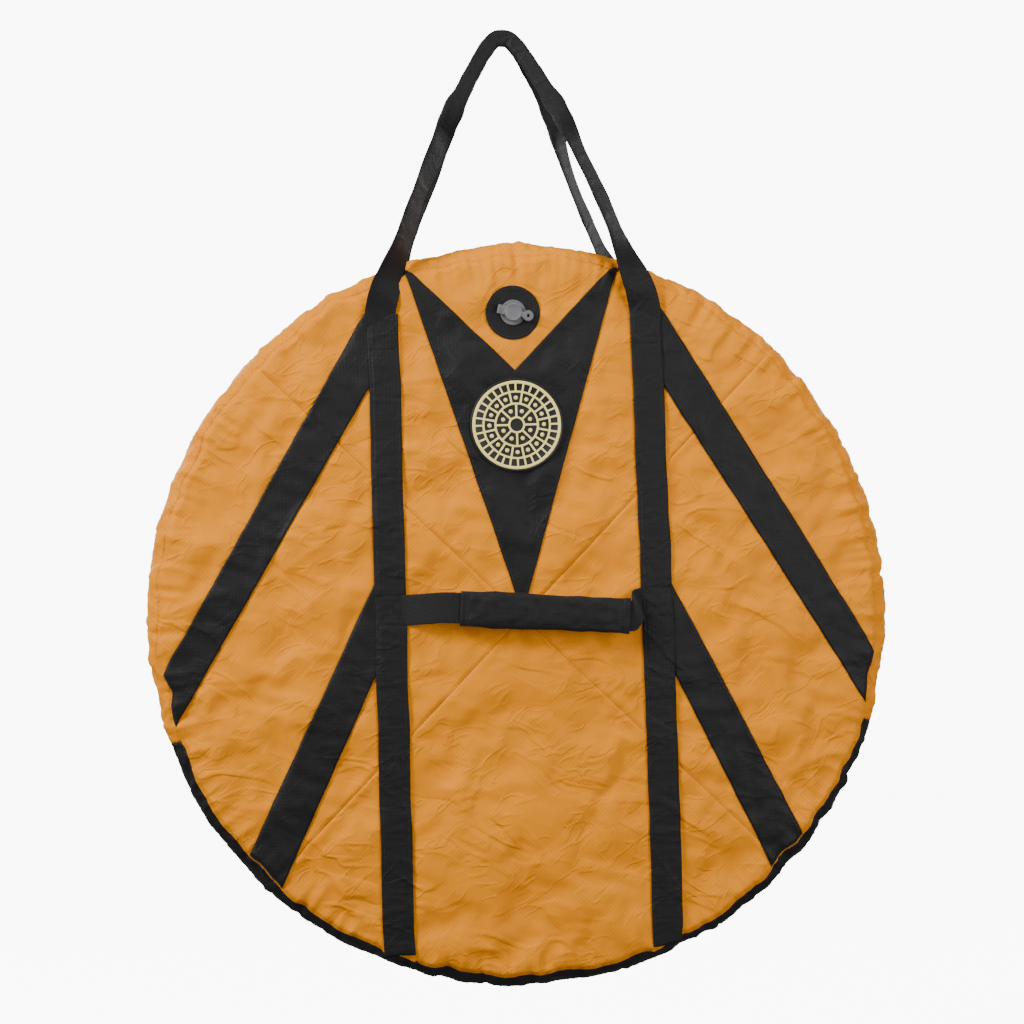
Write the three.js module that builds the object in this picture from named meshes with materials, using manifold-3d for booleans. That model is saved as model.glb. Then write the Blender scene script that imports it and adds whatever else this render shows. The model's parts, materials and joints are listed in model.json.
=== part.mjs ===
// A round padded gong bag, hanging by its two carrying handles.
// Millimetres, +Z up. The bag's axis is Y and its front faces -Y. The origin is the point where
// the handles hang on a hook, so the bag's centre lies straight below it.
import * as THREE from "three";
import { mergeVertices } from "three/addons/utils/BufferGeometryUtils.js";
import Module from "manifold-3d";

const wasm = await Module();
wasm.setup();

// Driving dimensions
const RIM_RADIUS = 500; // outside of the gusset
const SEAM_RADIUS = 486; // where the round panels meet the gusset
const HALF_DEPTH = 55; // from the middle plane to a panel's seam
const CROWN = 18; // how far a panel bulges past its seam at its centre
const CAVITY_HALF = 30; // half of the room for the gong
const CAVITY_RADIUS = 468;
const CLOTH = 1.5; // outer cloth with its backing
const GAP = 0.3; // between neighbouring pieces
const FOLD_HEIGHT = -158; // chord where the front flap folds down, from the bag's centre
const HANG_HEIGHT = 776; // from the bag's centre up to the hook
const WEBBING = 42; // width of the covered webbing
const STRAP_X = 178.5; // centre line of a vertical strap
const STRAP_TOP = 411;
const ZIP_Y = 30; // the zip runs round the gusset here
const ZIP_TAPE = 8.2;
const EMBLEM_HEIGHT = 256;
const EMBLEM_RADIUS = 62.4;
const VALVE_HEIGHT = 407;
const VALVE_TILT = -14.5; // degrees, the valve lid's long direction
const GRIP_FRONT = -96; // its swing line stands this far in front of the middle plane
const GRIP_TILT = -4.4; // degrees, how the padded sleeve droops
const SLEEVE_LENGTH = 226;
const SLEEVE_CENTRE = [29, 5.7]; // X and height
const ROUND_STEPS = 48;
const FRONT = -1;
const BACK = 1;

const ORANGE = 0xe0961a;
const BLACK = 0x232323;
const paint = {
  ripstop: [ORANGE, 0.55, 0],
  black: [BLACK, 0.6, 0],
  lining: [0x2c2c2e, 0.9, 0],
  cell: [0xc9c9c4, 0.45, 0],
  foam: [0x6e6e70, 1, 0],
  rubber: [0x1d1d1d, 0.6, 0],
  cream: [0xf3de90, 0.5, 0],
  valve: [0x7b7b7c, 0.5, 0],
  metal: [0x4a4a4c, 0.35, 1],
};

const bag = new THREE.Group();
bag.position.z = -HANG_HEIGHT;

// A closed solid from a geometry class: shared corners are merged and faces without area dropped.
function solid(geometry) {
  const bare = geometry.index ? geometry.toNonIndexed() : geometry;
  bare.deleteAttribute("normal");
  bare.deleteAttribute("uv");
  const merged = mergeVertices(bare, 1e-3);
  const corners = merged.index.array;
  const triangles = [];
  for (let i = 0; i < corners.length; i += 3) {
    const [a, b, c] = corners.slice(i, i + 3);
    if (a !== b && b !== c && c !== a) triangles.push([a, b, c]);
  }
  const points = new Float32Array(merged.attributes.position.array);
  const body = manifold(points, triangles);
  return body.volume() > 0 ? body : manifold(points, triangles.map((t) => t.reverse()));
}

function manifold(points, triangles) {
  const mesh = { numProp: 3, vertProperties: points, triVerts: new Uint32Array(triangles.flat()) };
  return new wasm.Manifold(new wasm.Mesh(mesh));
}

// Adds a solid to the bag, or to another group, as one named mesh.
function piece(name, body, look, group = bag) {
  const { vertProperties, triVerts, numProp } = body.getMesh();
  const geometry = new THREE.BufferGeometry();
  const positions = new Float32Array((vertProperties.length / numProp) * 3);
  for (let i = 0; i < positions.length / 3; i++) {
    positions.set(vertProperties.slice(i * numProp, i * numProp + 3), i * 3);
  }
  geometry.setAttribute("position", new THREE.BufferAttribute(positions, 3));
  geometry.setIndex([...triVerts]);
  const [color, roughness, metalness] = paint[look];
  const material = new THREE.MeshStandardMaterial({ color, roughness, metalness });
  const mesh = new THREE.Mesh(geometry, material);
  mesh.name = name;
  group.add(mesh);
}

// A body turned about the bag's axis from [radius, y] points.
function turned(points, steps = ROUND_STEPS) {
  return solid(new THREE.LatheGeometry(points.map(([r, y]) => new THREE.Vector2(r, y)), steps));
}

function ring(inner, outer, y0, y1, steps = ROUND_STEPS) {
  return turned([[inner, y0], [outer, y0], [outer, y1], [inner, y1], [inner, y0]], steps);
}

function disc(radius, y0, y1, steps = ROUND_STEPS) {
  return turned([[0, y0], [radius, y0], [radius, y1], [0, y1]], steps);
}

function block(x0, x1, y0, y1, z0, z1) {
  const box = new THREE.BoxGeometry(x1 - x0, y1 - y0, z1 - z0);
  return solid(box.translate((x0 + x1) / 2, (y0 + y1) / 2, (z0 + z1) / 2));
}

// A prism through the whole bag, from an outline of [x, height] corners seen from the front.
function prism(corners, depth = 2 * RIM_RADIUS) {
  const shape = new THREE.Shape(corners.map(([x, z]) => new THREE.Vector2(x, z)));
  const geometry = new THREE.ExtrudeGeometry(shape, { depth, bevelEnabled: false });
  return solid(geometry.rotateX(Math.PI / 2).translate(0, depth / 2, 0));
}

// A beam along X, centred on it, from a section of [y, height] corners.
function beam(corners, length) {
  const shape = new THREE.Shape(corners.map(([y, z]) => new THREE.Vector2(y, z)));
  const geometry = new THREE.ExtrudeGeometry(shape, { depth: length, bevelEnabled: false });
  const [x, y, z] = [[1, 0, 0], [0, 1, 0], [0, 0, 1]].map((axis) => new THREE.Vector3(...axis));
  const turn = new THREE.Matrix4().makeBasis(y, z, x);
  return solid(geometry.translate(0, 0, -length / 2).applyMatrix4(turn));
}

const above = (body) => body.intersect(block(-600, 600, -200, 200, FOLD_HEIGHT + GAP / 2, 900));
const below = (body) => body.intersect(block(-600, 600, -200, 200, -900, FOLD_HEIGHT - GAP / 2));
const mirrored = (corners) => corners.map(([x, z]) => [-x, z]).reverse();

const bulge = (r) => HALF_DEPTH + CROWN * (1 - (r / SEAM_RADIUS) ** 2);

// A thin dished layer over a round panel, between two heights above the cloth's outer face.
function panelLayer(side, from, to, radius = SEAM_RADIUS - 2) {
  const radii = [0, SEAM_RADIUS / 2, radius];
  const outer = radii.map((r) => [r, side * (bulge(r) + to)]);
  const inner = radii.map((r) => [r, side * (bulge(r) + from)]).reverse();
  return turned([...outer, ...inner]);
}

const firstLayer = () => panelLayer(FRONT, GAP, CLOTH);
const strapLayer = (side) => panelLayer(side, CLOTH + GAP, CLOTH + GAP + 2.2);

// Round panels: outer cloth, air cell and lining, on each side of the cavity.
function cellProfile(side) {
  const skin = CLOTH + GAP;
  const near = CAVITY_HALF + skin;
  return [
    [0, side * near],
    [RIM_RADIUS - 4, side * near],
    [RIM_RADIUS - 4, side * (HALF_DEPTH - 5)],
    [SEAM_RADIUS - 2, side * (HALF_DEPTH - skin)],
    [SEAM_RADIUS / 2, side * (bulge(SEAM_RADIUS / 2) - skin)],
    [0, side * (bulge(0) - skin)],
  ];
}

function addPanels() {
  const cloth = panelLayer(FRONT, -CLOTH, 0, SEAM_RADIUS);
  const cell = turned(cellProfile(FRONT));
  const lining = disc(CAVITY_RADIUS, -CAVITY_HALF - CLOTH, -CAVITY_HALF);
  piece("upper_front_panel", above(cloth), "ripstop");
  piece("lower_front_panel", below(cloth), "ripstop");
  piece("upper_front_air_cell", above(cell), "cell");
  piece("lower_front_air_cell", below(cell), "cell");
  piece("upper_front_lining", above(lining), "lining");
  piece("lower_front_lining", below(lining), "lining");
  piece("back_panel", panelLayer(BACK, -CLOTH, 0, SEAM_RADIUS), "ripstop");
  piece("back_air_cell", turned(cellProfile(BACK)), "cell");
  piece("back_lining", disc(CAVITY_RADIUS, CAVITY_HALF, CAVITY_HALF + CLOTH), "lining");
}

// The rim: the bound seam at the edge of each panel, gusset cloth, and foam inside it.
function addRim() {
  const seamThickness = 5;
  const seamRing = (RIM_RADIUS + SEAM_RADIUS) / 2;
  const boundSeam = (side) => {
    const corners = [0, 1, 2, 3, 4, 5, 6].map((i) => (i * Math.PI) / 3);
    return turned(corners.map((a) => [
      seamRing + seamThickness * Math.cos(a),
      side * (HALF_DEPTH + 1.5) + seamThickness * Math.sin(a),
    ]));
  };
  piece("upper_seam_binding", above(boundSeam(FRONT)), "black");
  piece("lower_seam_binding", below(boundSeam(FRONT)), "black");
  piece("back_seam_binding", boundSeam(BACK), "black");

  const cloth = (y0, y1) => ring(RIM_RADIUS - CLOTH, RIM_RADIUS, y0, y1);
  const edge = HALF_DEPTH - 1;
  piece("front_gusset", above(cloth(-edge, ZIP_Y - 10)), "ripstop");
  piece("back_gusset", above(cloth(ZIP_Y + 10, edge)), "ripstop");
  piece("base_gusset", below(cloth(-edge, edge)), "black");

  const foam = (y1) => ring(CAVITY_RADIUS + 2, RIM_RADIUS - CLOTH - GAP, -CAVITY_HALF - 1.2, y1);
  piece("rim_foam", above(foam(ZIP_Y - 4)), "foam");
  piece("base_foam", below(foam(CAVITY_HALF + 1.2)), "foam");
}

// The zip round the upper gusset: a tape and a row of teeth on each side, two sliders with pulls.
function addZip() {
  const tapeInner = RIM_RADIUS - CLOTH;
  for (const [side, word] of [[-1, "front"], [1, "back"]]) {
    const span = (near, far) => [ZIP_Y + side * near, ZIP_Y + side * far].sort((a, b) => a - b);
    const tape = ring(tapeInner, RIM_RADIUS, ...span(1.5, 1.5 + ZIP_TAPE));
    const teeth = ring(tapeInner, RIM_RADIUS + 1.4, ...span(0.15, 1.2));
    piece(`zip_tape_${word}`, above(tape), "black");
    piece(`zip_teeth_${word}`, above(teeth), "black");
  }
  addSlider("right", 1);
  addSlider("left", -1);
}

function addSlider(word, side) {
  const top = RIM_RADIUS + 2.8; // clear of the teeth while the flap's row lifts away
  const middle = 8.5; // from the top of the rim to the slider's middle
  const pin = top + 3.2;
  const across = (x0, x1) => [side * (middle + x0), side * (middle + x1)].sort((a, b) => a - b);
  const plate = block(...across(-7, 7), ZIP_Y - 6, ZIP_Y + 6, top, top + 1.5);
  const lip = block(...across(-7, 7), ZIP_Y + 4.5, ZIP_Y + 6, top - 2, top + 0.5);
  const bail = block(...across(-4, 4), ZIP_Y - 1.5, ZIP_Y + 1.5, top + 1, top + 5.8);
  const eye = block(...across(-2.9, 2.9), ZIP_Y - 3, ZIP_Y + 3, top + 1.5, top + 4.8);
  piece(`${word}_slider`, plate.add(lip).add(bail.subtract(eye)), "metal");

  const bar = block(...across(-0.7, 0.7), ZIP_Y - 5, ZIP_Y + 5, pin - 0.7, pin + 0.7);
  const tab = block(...across(-0.7, 28), ZIP_Y - 5, ZIP_Y + 5, pin - 0.7, pin + 0.7);
  const window = block(...across(-2, 6), ZIP_Y - 3.2, ZIP_Y + 3.2, pin - 2, pin + 2);
  const hole = block(...across(18, 24), ZIP_Y - 2, ZIP_Y + 2, pin - 2, pin + 2);
  piece(`${word}_pull`, tab.subtract(window).subtract(hole).add(bar), "metal");
}

// Flat cloth pieces sewn on the front: the V, four bands, and the two long straps.
function addFrontTrim() {
  const vOutline = [[0, 3], [143, 470], [135, 465], [0, 330], [-135, 465], [-143, 470]];
  const upperBand = [[200.8, 303], [466, -144], [484.5, -68], [200.8, 403]];
  const lowerBand = [[200.8, -82], [337, -366], [377, -320], [200.8, 35]];
  piece("v_applique", firstLayer().intersect(prism(vOutline)), "black");
  for (const [word, turn] of [["right", (c) => c], ["left", mirrored]]) {
    const lower = firstLayer().intersect(prism(turn(lowerBand)));
    piece(`${word}_upper_band`, firstLayer().intersect(prism(turn(upperBand))), "black");
    piece(`${word}_lower_band`, above(lower), "black");
    piece(`${word}_lower_band_tail`, below(lower), "black");
    const strap = prism(turn(strapOutline(STRAP_TOP)));
    piece(`${word}_strap_upper`, above(strapLayer(FRONT).intersect(strap)), "black");
    piece(`${word}_strap_lower`, below(strapLayer(FRONT).intersect(strap)), "black");
    piece(`back_${word}_strap`, strapLayer(BACK).intersect(strap), "black");
  }
}

function strapOutline(top) {
  const near = STRAP_X - WEBBING / 2;
  const far = STRAP_X + WEBBING / 2;
  return [[near, -SEAM_RADIUS], [far, -SEAM_RADIUS], [far, top], [near, top]];
}

// The round rubber emblem: a base disc and a raised ring pattern on it.
function addEmblem() {
  const face = -bulge(EMBLEM_HEIGHT) - CLOTH - 1.5;
  const place = (body) => body.translate([0, face, EMBLEM_HEIGHT]);
  piece("emblem_base", place(disc(EMBLEM_RADIUS, -2, 0, 36)), "rubber");
  const line = (inner, outer) => ring(inner, outer, -3.3, -2.3, 36);
  piece("emblem_relief", place(line(EMBLEM_RADIUS - 5.4, EMBLEM_RADIUS - 2.8)), "cream");
}

// The inflation valve: cloth patch, body, inner membrane, and a lid on a retaining strap.
function addValve() {
  const bodyRadius = 17;
  const face = -bulge(VALVE_HEIGHT) - CLOTH - 1.8;
  const place = (body) =>
    body.rotate([0, -VALVE_TILT, 0]).translate([0, face, VALVE_HEIGHT]);
  const patch = disc(36.5, -100, 100, 24).translate([0, 0, VALVE_HEIGHT]);
  piece("valve_patch", firstLayer().intersect(patch), "black");
  const post = block(-20, -14, -4.6, 0, -4.5, 4.5); // holds the lid's retaining strap
  const flange = disc(bodyRadius, -1.6, 0, 24).add(disc(11, -4.6, -1, 24)).add(post);
  piece("valve_base", place(flange.subtract(disc(8, -6, -0.6, 24))), "valve");
  piece("valve_membrane", place(disc(7.6, -1.8, -0.9, 24)), "rubber");
  const strap = block(-20, 20, -6.6, -5, -4.5, 4.5);
  const tab = disc(7.2, -6.6, -5, 24).translate([21, 0, 0]);
  const hole = disc(2.2, -8, 0, 24).translate([21, 0, 0]);
  const lid = disc(11.8, -7.6, -5, 24);
  const plug = ring(4, 6.4, -5.5, -3, 24);
  piece("valve_cap", place(lid.add(strap).add(tab).add(plug).subtract(hole)), "valve");
  piece("valve_seal", place(ring(6.7, 7.6, -4.6, -3.4, 24)), "rubber");
}

// The short centre grip: webbing, a foam pad, and a padded sleeve open at both ends.
function addGrip() {
  const [sleeveX, sleeveZ] = SLEEVE_CENTRE;
  const half = SLEEVE_LENGTH / 2;
  const place = (body) =>
    body.rotate([0, -GRIP_TILT, 0]).translate([sleeveX, GRIP_FRONT, sleeveZ]);
  const reach = STRAP_X - WEBBING / 2 - 7;
  piece("grip_webbing", place(block(-reach - sleeveX, reach - sleeveX, 1.8, 4.2, -21, 21)), "black");
  piece("grip_pad", place(block(4 - half, half - 4, -4.8, 1.2, -20.5, 20.5)), "foam");
  const inside = block(-half - 5, half + 5, -5.4, 5.2, -21.8, 21.8);
  const quarter = [[7, 21], [5.5, 23.5]];
  const top = [...quarter, ...mirrored(quarter)];
  const section = [...top, ...top.map(([y, z]) => [-y, -z])];
  piece("grip_sleeve", place(beam(section, SLEEVE_LENGTH).subtract(inside)), "black");
}

// A carrying handle: webbing from both straps over the rim to a narrow folded grip at the hook.
function handleOutline() {
  const right = [
    [STRAP_X + WEBBING / 2, STRAP_TOP + 1],
    [97.5, 644.6],
    [79.8, 658.7],
    [21.6, 789.3],
    [17, HANG_HEIGHT + 18],
  ];
  const inner = [
    [4.5, HANG_HEIGHT],
    [60.6, 650.1],
    [59.1, 627.6],
    [STRAP_X - WEBBING / 2, STRAP_TOP + 1],
  ];
  return [...right, ...mirrored(right), ...mirrored(inner), ...inner];
}

function addHandle(word, side) {
  const thick = 1.5;
  const route = [[66, 400], [66, 485], [5, HANG_HEIGHT], [5, 820]]; // [distance from mid plane, height]
  const outer = route.map(([y, z]) => [y + thick, z]);
  const inner = route.map(([y, z]) => [y - thick, z]).reverse();
  const section = [...outer, ...inner].map(([y, z]) => [side * y, z]);
  const slab = beam(section, 2 * (STRAP_X + WEBBING));
  piece(`${word}_handle_webbing`, slab.intersect(prism(handleOutline())), "black");
}

addPanels();
addRim();
addZip();
addFrontTrim();
addEmblem();
addValve();
addGrip();
addHandle("front", FRONT);
addHandle("back", BACK);

const gongBag = new THREE.Group();
gongBag.add(bag);

export default gongBag;
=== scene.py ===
"""A round padded gong bag of orange ripstop with black trim, hanging by its two handles.

Metres. The bag's axis is Y and its front faces -Y. Sizes named *_x, *_z are measured from the
middle of the bag's round panels; place() moves them to the hang point that the frame starts from.
"""
import json
import math

import bmesh
import bpy
import numpy as np
from bpy.props import FloatProperty, FloatVectorProperty, IntProperty, PointerProperty
from mathutils import Matrix, Vector, geometry


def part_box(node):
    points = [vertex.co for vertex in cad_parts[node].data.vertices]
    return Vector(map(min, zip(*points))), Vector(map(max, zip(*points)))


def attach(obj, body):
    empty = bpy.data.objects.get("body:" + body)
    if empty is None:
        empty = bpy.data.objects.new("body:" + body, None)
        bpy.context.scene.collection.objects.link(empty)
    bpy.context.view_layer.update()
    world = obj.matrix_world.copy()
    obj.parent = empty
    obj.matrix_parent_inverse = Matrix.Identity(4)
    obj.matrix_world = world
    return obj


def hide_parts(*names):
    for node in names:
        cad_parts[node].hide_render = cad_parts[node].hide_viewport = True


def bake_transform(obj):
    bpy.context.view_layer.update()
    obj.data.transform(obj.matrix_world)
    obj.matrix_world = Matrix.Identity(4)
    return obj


bl_info = {
    "name": "Gong Bag",
    "version": (1, 0, 0),
    "blender": (4, 5, 0),
    "location": "View3D > Sidebar > Gong Bag",
    "description": "Builds a round padded gong bag around its packed frame",
    "category": "Add Mesh",
}

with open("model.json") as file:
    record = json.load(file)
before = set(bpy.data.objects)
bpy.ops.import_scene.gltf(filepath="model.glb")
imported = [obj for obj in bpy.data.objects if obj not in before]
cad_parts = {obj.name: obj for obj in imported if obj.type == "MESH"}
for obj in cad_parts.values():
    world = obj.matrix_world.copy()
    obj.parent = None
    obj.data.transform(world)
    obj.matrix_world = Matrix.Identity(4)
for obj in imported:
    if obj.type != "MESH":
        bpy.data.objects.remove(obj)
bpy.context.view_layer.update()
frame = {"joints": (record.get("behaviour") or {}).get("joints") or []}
MM = 0.001
FRONT, BACK = -1, 1
HANDS = (("right", 1), ("left", -1))


def node_box(name):
    """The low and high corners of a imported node."""
    return tuple(map(np.array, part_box(name)))


def centre_of(name):
    """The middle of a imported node's box."""
    return sum(node_box(name)) / 2


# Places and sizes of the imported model
CENTRE_Z = centre_of("back_lining")[2]
RIM_RADIUS = node_box("back_gusset")[1][0]
SEAM_RADIUS = node_box("back_panel")[1][0]
HALF_DEPTH = node_box("back_gusset")[1][1] + 1 * MM
CROWN = node_box("back_panel")[1][1] - HALF_DEPTH
CAVITY_RADIUS = node_box("back_lining")[1][0]
LINING_Y = node_box("back_lining")[0][1]
FOLD_Z = node_box("upper_front_panel")[0][2] - CENTRE_Z
STRAP_BOX = node_box("back_right_strap")
STRAP_X = (STRAP_BOX[0][0] + STRAP_BOX[1][0]) / 2
STRAP_WIDTH = STRAP_BOX[1][0] - STRAP_BOX[0][0]
STRAP_TOP = STRAP_BOX[1][2] - CENTRE_Z
ZIP_Y = (node_box("zip_teeth_front")[0][1] + node_box("zip_teeth_back")[1][1]) / 2
ZIP_TAPE_EDGE = node_box("zip_tape_back")[1][1] - ZIP_Y
EMBLEM = centre_of("emblem_base") - (0, 0, CENTRE_Z)
EMBLEM_RADIUS = (node_box("emblem_base")[1] - node_box("emblem_base")[0])[0] / 2
VALVE = centre_of("valve_membrane") - (0, 0, CENTRE_Z)
GRIP = centre_of("grip_sleeve") - (0, 0, CENTRE_Z)
JOINTS = {joint["name"]: joint for joint in frame["joints"]}
HANDLE_Y = JOINTS["back_handle_swing"]["pos_m"][1]


# -------------------- settings
class GongBagSizes(bpy.types.PropertyGroup):
    """Sizes of the cloth and its sewing that a user may change"""
    cloth_spacing: FloatProperty(
        name="Cloth spacing", description="Distance between points of the finished panel cloth",
        default=3.6 * MM, min=2 * MM, max=20 * MM, unit="LENGTH")
    drape_spacing: FloatProperty(
        name="Drape spacing", description="Distance between points while the cloth is simulated",
        default=8 * MM, min=5 * MM, max=20 * MM, unit="LENGTH")
    slack: FloatProperty(
        name="Slack", description="Share by which the cloth is larger than the room it has",
        default=0.022, min=0, max=0.05)
    drape_frames: IntProperty(
        name="Drape frames", description="Steps of the cloth simulation", default=22, min=2, max=60)
    ripstop_pitch: FloatProperty(
        name="Ripstop pitch", description="Distance between the thick threads of the cloth",
        default=4.6 * MM, unit="LENGTH")
    stitch_length: FloatProperty(
        name="Stitch length", description="Length of one sewn stitch", default=3.4 * MM,
        unit="LENGTH")


def colour_property(name, description, hexadecimal):
    """A colour setting whose default is an sRGB hex value."""
    return FloatVectorProperty(
        name=name, description=description, subtype="COLOR", size=3, min=0, max=1,
        default=linear(hexadecimal)[:3])


def linear(hexadecimal):
    """A linear RGBA colour from an sRGB hex value."""
    channels = [int(hexadecimal[i:i + 2], 16) / 255 for i in (0, 2, 4)]
    return tuple(c / 12.92 if c <= 0.04045 else ((c + 0.055) / 1.055) ** 2.4
                 for c in channels) + (1.0,)


class GongBagColours(bpy.types.PropertyGroup):
    """Colours of the bag that a user may change"""
    orange: colour_property("Orange", "Main cloth", "F29300")
    black: colour_property("Black", "Trim cloth and webbing", "111112")
    cream: colour_property("Cream", "Raised pattern of the emblem", "FFEE90")
    valve: colour_property("Valve grey", "Moulded valve", "6B6B6D")


# -------------------- number helpers
def smooth_step(value, low, high):
    """0 below low, 1 above high, and the cubic 3t^2 - 2t^3 between."""
    t = np.clip((value - low) / (high - low), 0, 1)
    return t * t * (3 - 2 * t)


def bump_line(distance, width):
    """A rounded ridge: exp(-(distance / width)^2)."""
    return np.exp(-(np.asarray(distance) / width) ** 2)


def waves(points, size, seed, count=40):
    """Smooth noise: a sum of cosines whose directions and phases are drawn at random."""
    rng = np.random.default_rng(seed)
    points = np.asarray(points, float)
    k = rng.normal(size=(count, points.shape[-1])) / size
    phase = rng.uniform(0, 2 * np.pi, count)
    return np.cos(points @ k.T * 2 * np.pi + phase).sum(-1) / math.sqrt(count / 2)


def creases(points, size, seed):
    """Sharp-ridged noise: 1 - |smooth noise|, raised so that narrow ridges stand out."""
    return np.clip(1 - np.abs(waves(points, size, seed)), 0, 1) ** 2


def squared(value, power):
    """sign(value) |value|^power, which makes a rounded rectangle of a circle's cosine and sine."""
    return np.sign(value) * np.abs(value) ** power


def line_distance(x, z, start, end):
    """Distance from each (x, z) to the stretch from start to end."""
    start, end = np.array(start), np.array(end)
    along = end - start
    t = ((x - start[0]) * along[0] + (z - start[1]) * along[1]) / (along @ along)
    t = np.clip(t, 0, 1)
    return np.hypot(x - start[0] - t * along[0], z - start[1] - t * along[1])


def bulge(r):
    """Height of a panel over the bag's middle plane: a parabola over its seam."""
    return HALF_DEPTH + CROWN * (1 - (np.asarray(r) / SEAM_RADIUS) ** 2)


def place(points):
    """Moves points from the middle of the bag to the frame's own origin."""
    return np.asarray(points, float) + (0, 0, CENTRE_Z)


def unit(vectors):
    """The vectors divided by their lengths."""
    return vectors / np.maximum(np.linalg.norm(vectors, axis=-1, keepdims=True), 1e-12)


def along_path(points):
    """Length from the first point to each point of a path."""
    steps = np.linalg.norm(np.diff(points, axis=0), axis=1)
    return np.concatenate([[0], np.cumsum(steps)])


def resampled(points, spacing):
    """The same path with points at an even spacing, on straight stretches between the old ones."""
    points = np.asarray(points, float)
    length = along_path(points)
    count = max(2, int(round(length[-1] / spacing)) + 1)
    at = np.linspace(0, length[-1], count)
    return np.stack([np.interp(at, length, points[:, i]) for i in range(points.shape[1])], 1)


def rounded_path(knots, spacing=4 * MM):
    """A smooth path through given knots: a Catmull-Rom spline, evenly resampled."""
    knots = np.asarray(knots, float)
    padded = np.concatenate([[2 * knots[0] - knots[1]], knots, [2 * knots[-1] - knots[-2]]])
    t = np.linspace(0, 1, 24, endpoint=False)[:, None]
    parts = []
    for a, b, c, d in zip(padded, padded[1:], padded[2:], padded[3:]):
        parts.append(0.5 * (2 * b + (c - a) * t + (2 * a - 5 * b + 4 * c - d) * t ** 2
                            + (3 * b - a - 3 * c + d) * t ** 3))
    return resampled(np.concatenate(parts + [knots[-1:]]), spacing)


def grid_faces(rows, columns, wrap_rows=False, wrap_columns=False, flip=False):
    """Quads between neighbouring points of a rows x columns grid, closed round where asked."""
    index = np.arange(rows * columns).reshape(rows, columns)
    if wrap_rows:
        index = np.concatenate([index, index[:1]], 0)
    if wrap_columns:
        index = np.concatenate([index, index[:, :1]], 1)
    quads = np.stack([index[:-1, :-1], index[1:, :-1], index[1:, 1:], index[:-1, 1:]], -1)
    quads = quads.reshape(-1, 4)
    return quads[:, ::-1] if flip else quads


def tube_faces(rows, columns, flip=False):
    """Faces of a grid that is closed round, with a flat face over its first and last ring."""
    faces = grid_faces(rows, columns, wrap_columns=True, flip=flip).tolist()
    turn = -1 if flip else 1
    first, last = list(range(columns)), list(range((rows - 1) * columns, rows * columns))
    return faces + [first[::turn], last[::-turn]]


def new_object(name, points, faces, flat=None):
    """An object of one mesh; flat holds each point's place on the flat cloth, in metres."""
    mesh = bpy.data.meshes.new(name)
    mesh.from_pydata(np.asarray(points, float).reshape(-1, 3).tolist(), [],
                     [list(map(int, f)) for f in faces])
    mesh.polygons.foreach_set("use_smooth", np.ones(len(mesh.polygons), bool))
    if flat is not None:
        corners = np.zeros(len(mesh.loops), np.int32)
        mesh.loops.foreach_get("vertex_index", corners)
        layer = mesh.uv_layers.new(name="cloth")
        layer.data.foreach_set("uv", np.asarray(flat, float).reshape(-1, 2)[corners].ravel())
    mesh.update()
    obj = bpy.data.objects.new(name, mesh)
    bpy.context.scene.collection.objects.link(obj)
    return obj


def finish_piece(obj, key, body, replaces=(), fold=False):
    """Gives a piece its material and hides the parts it replaces; without fold it goes to its body,
    with fold its placement is baked into its mesh.
    """
    obj.data.materials.append(materials(key))
    if fold:
        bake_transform(obj)
    else:
        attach(obj, body)
    if replaces:
        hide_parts(*replaces)
    return obj


def solid_piece(name, points, faces, flat, key, body, replaces=(), fold=False):
    """A finished piece from a closed shape, with its faces turned outwards."""
    obj = new_object(name, place(points), faces, flat)
    outward(obj)
    return finish_piece(obj, key, body, replaces, fold)


def grid_piece(name, points, flat, key, body, replaces=(), fold=False, thick=0,
               wrap_rows=False, wrap_columns=False, flip=False):
    """A piece from a grid of points (rows, columns, 3); thick gives it a wall."""
    rows, columns = points.shape[:2]
    faces = grid_faces(rows, columns, wrap_rows, wrap_columns, flip)
    obj = new_object(name, place(points), faces, flat)
    if thick:
        wall = obj.modifiers.new("wall", "SOLIDIFY")
        wall.thickness = thick
        wall.offset = -1
        apply_modifiers(obj)
    return finish_piece(obj, key, body, replaces, fold)


def apply_modifiers(obj):
    """Replaces the object's mesh by what its modifiers make of it."""
    depsgraph = bpy.context.evaluated_depsgraph_get()
    depsgraph.update()
    mesh = bpy.data.meshes.new_from_object(obj.evaluated_get(depsgraph))
    obj.modifiers.clear()
    obj.data = mesh


def swept(path, side, out, section):
    """A section [(across, up)] carried along a path: point = path + across*side + up*out.

    path, side and out are (n, 3) arrays and section is (m, 2), or (n, m, 2) if it changes."""
    section = np.asarray(section, float)
    if section.ndim == 2:
        section = np.broadcast_to(section, (len(path),) + section.shape)
    points = (path[:, None] + section[..., :1] * side[:, None] + section[..., 1:] * out[:, None])
    return points, tube_faces(*points.shape[:2])


def outward(obj):
    """Turns the faces of a closed shape outwards."""
    work = bmesh.new()
    work.from_mesh(obj.data)
    bmesh.ops.recalc_face_normals(work, faces=work.faces)
    work.to_mesh(obj.data)
    work.free()
    return obj


def lathe(profile, steps, capped=True):
    """Points and faces of [(radius, height)] turned about the third axis."""
    profile = np.asarray(profile, float)
    angle = np.linspace(0, 2 * np.pi, steps, endpoint=False)
    ring = np.stack([np.cos(angle), np.sin(angle)], -1)
    points = np.concatenate([profile[:, None, :1] * ring[None],
                             np.broadcast_to(profile[:, None, 1:], (len(profile), steps, 1))], -1)
    faces = tube_faces(len(profile), steps) if capped else grid_faces(
        len(profile), steps, wrap_columns=True)
    return points.reshape(-1, 3), faces


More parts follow.
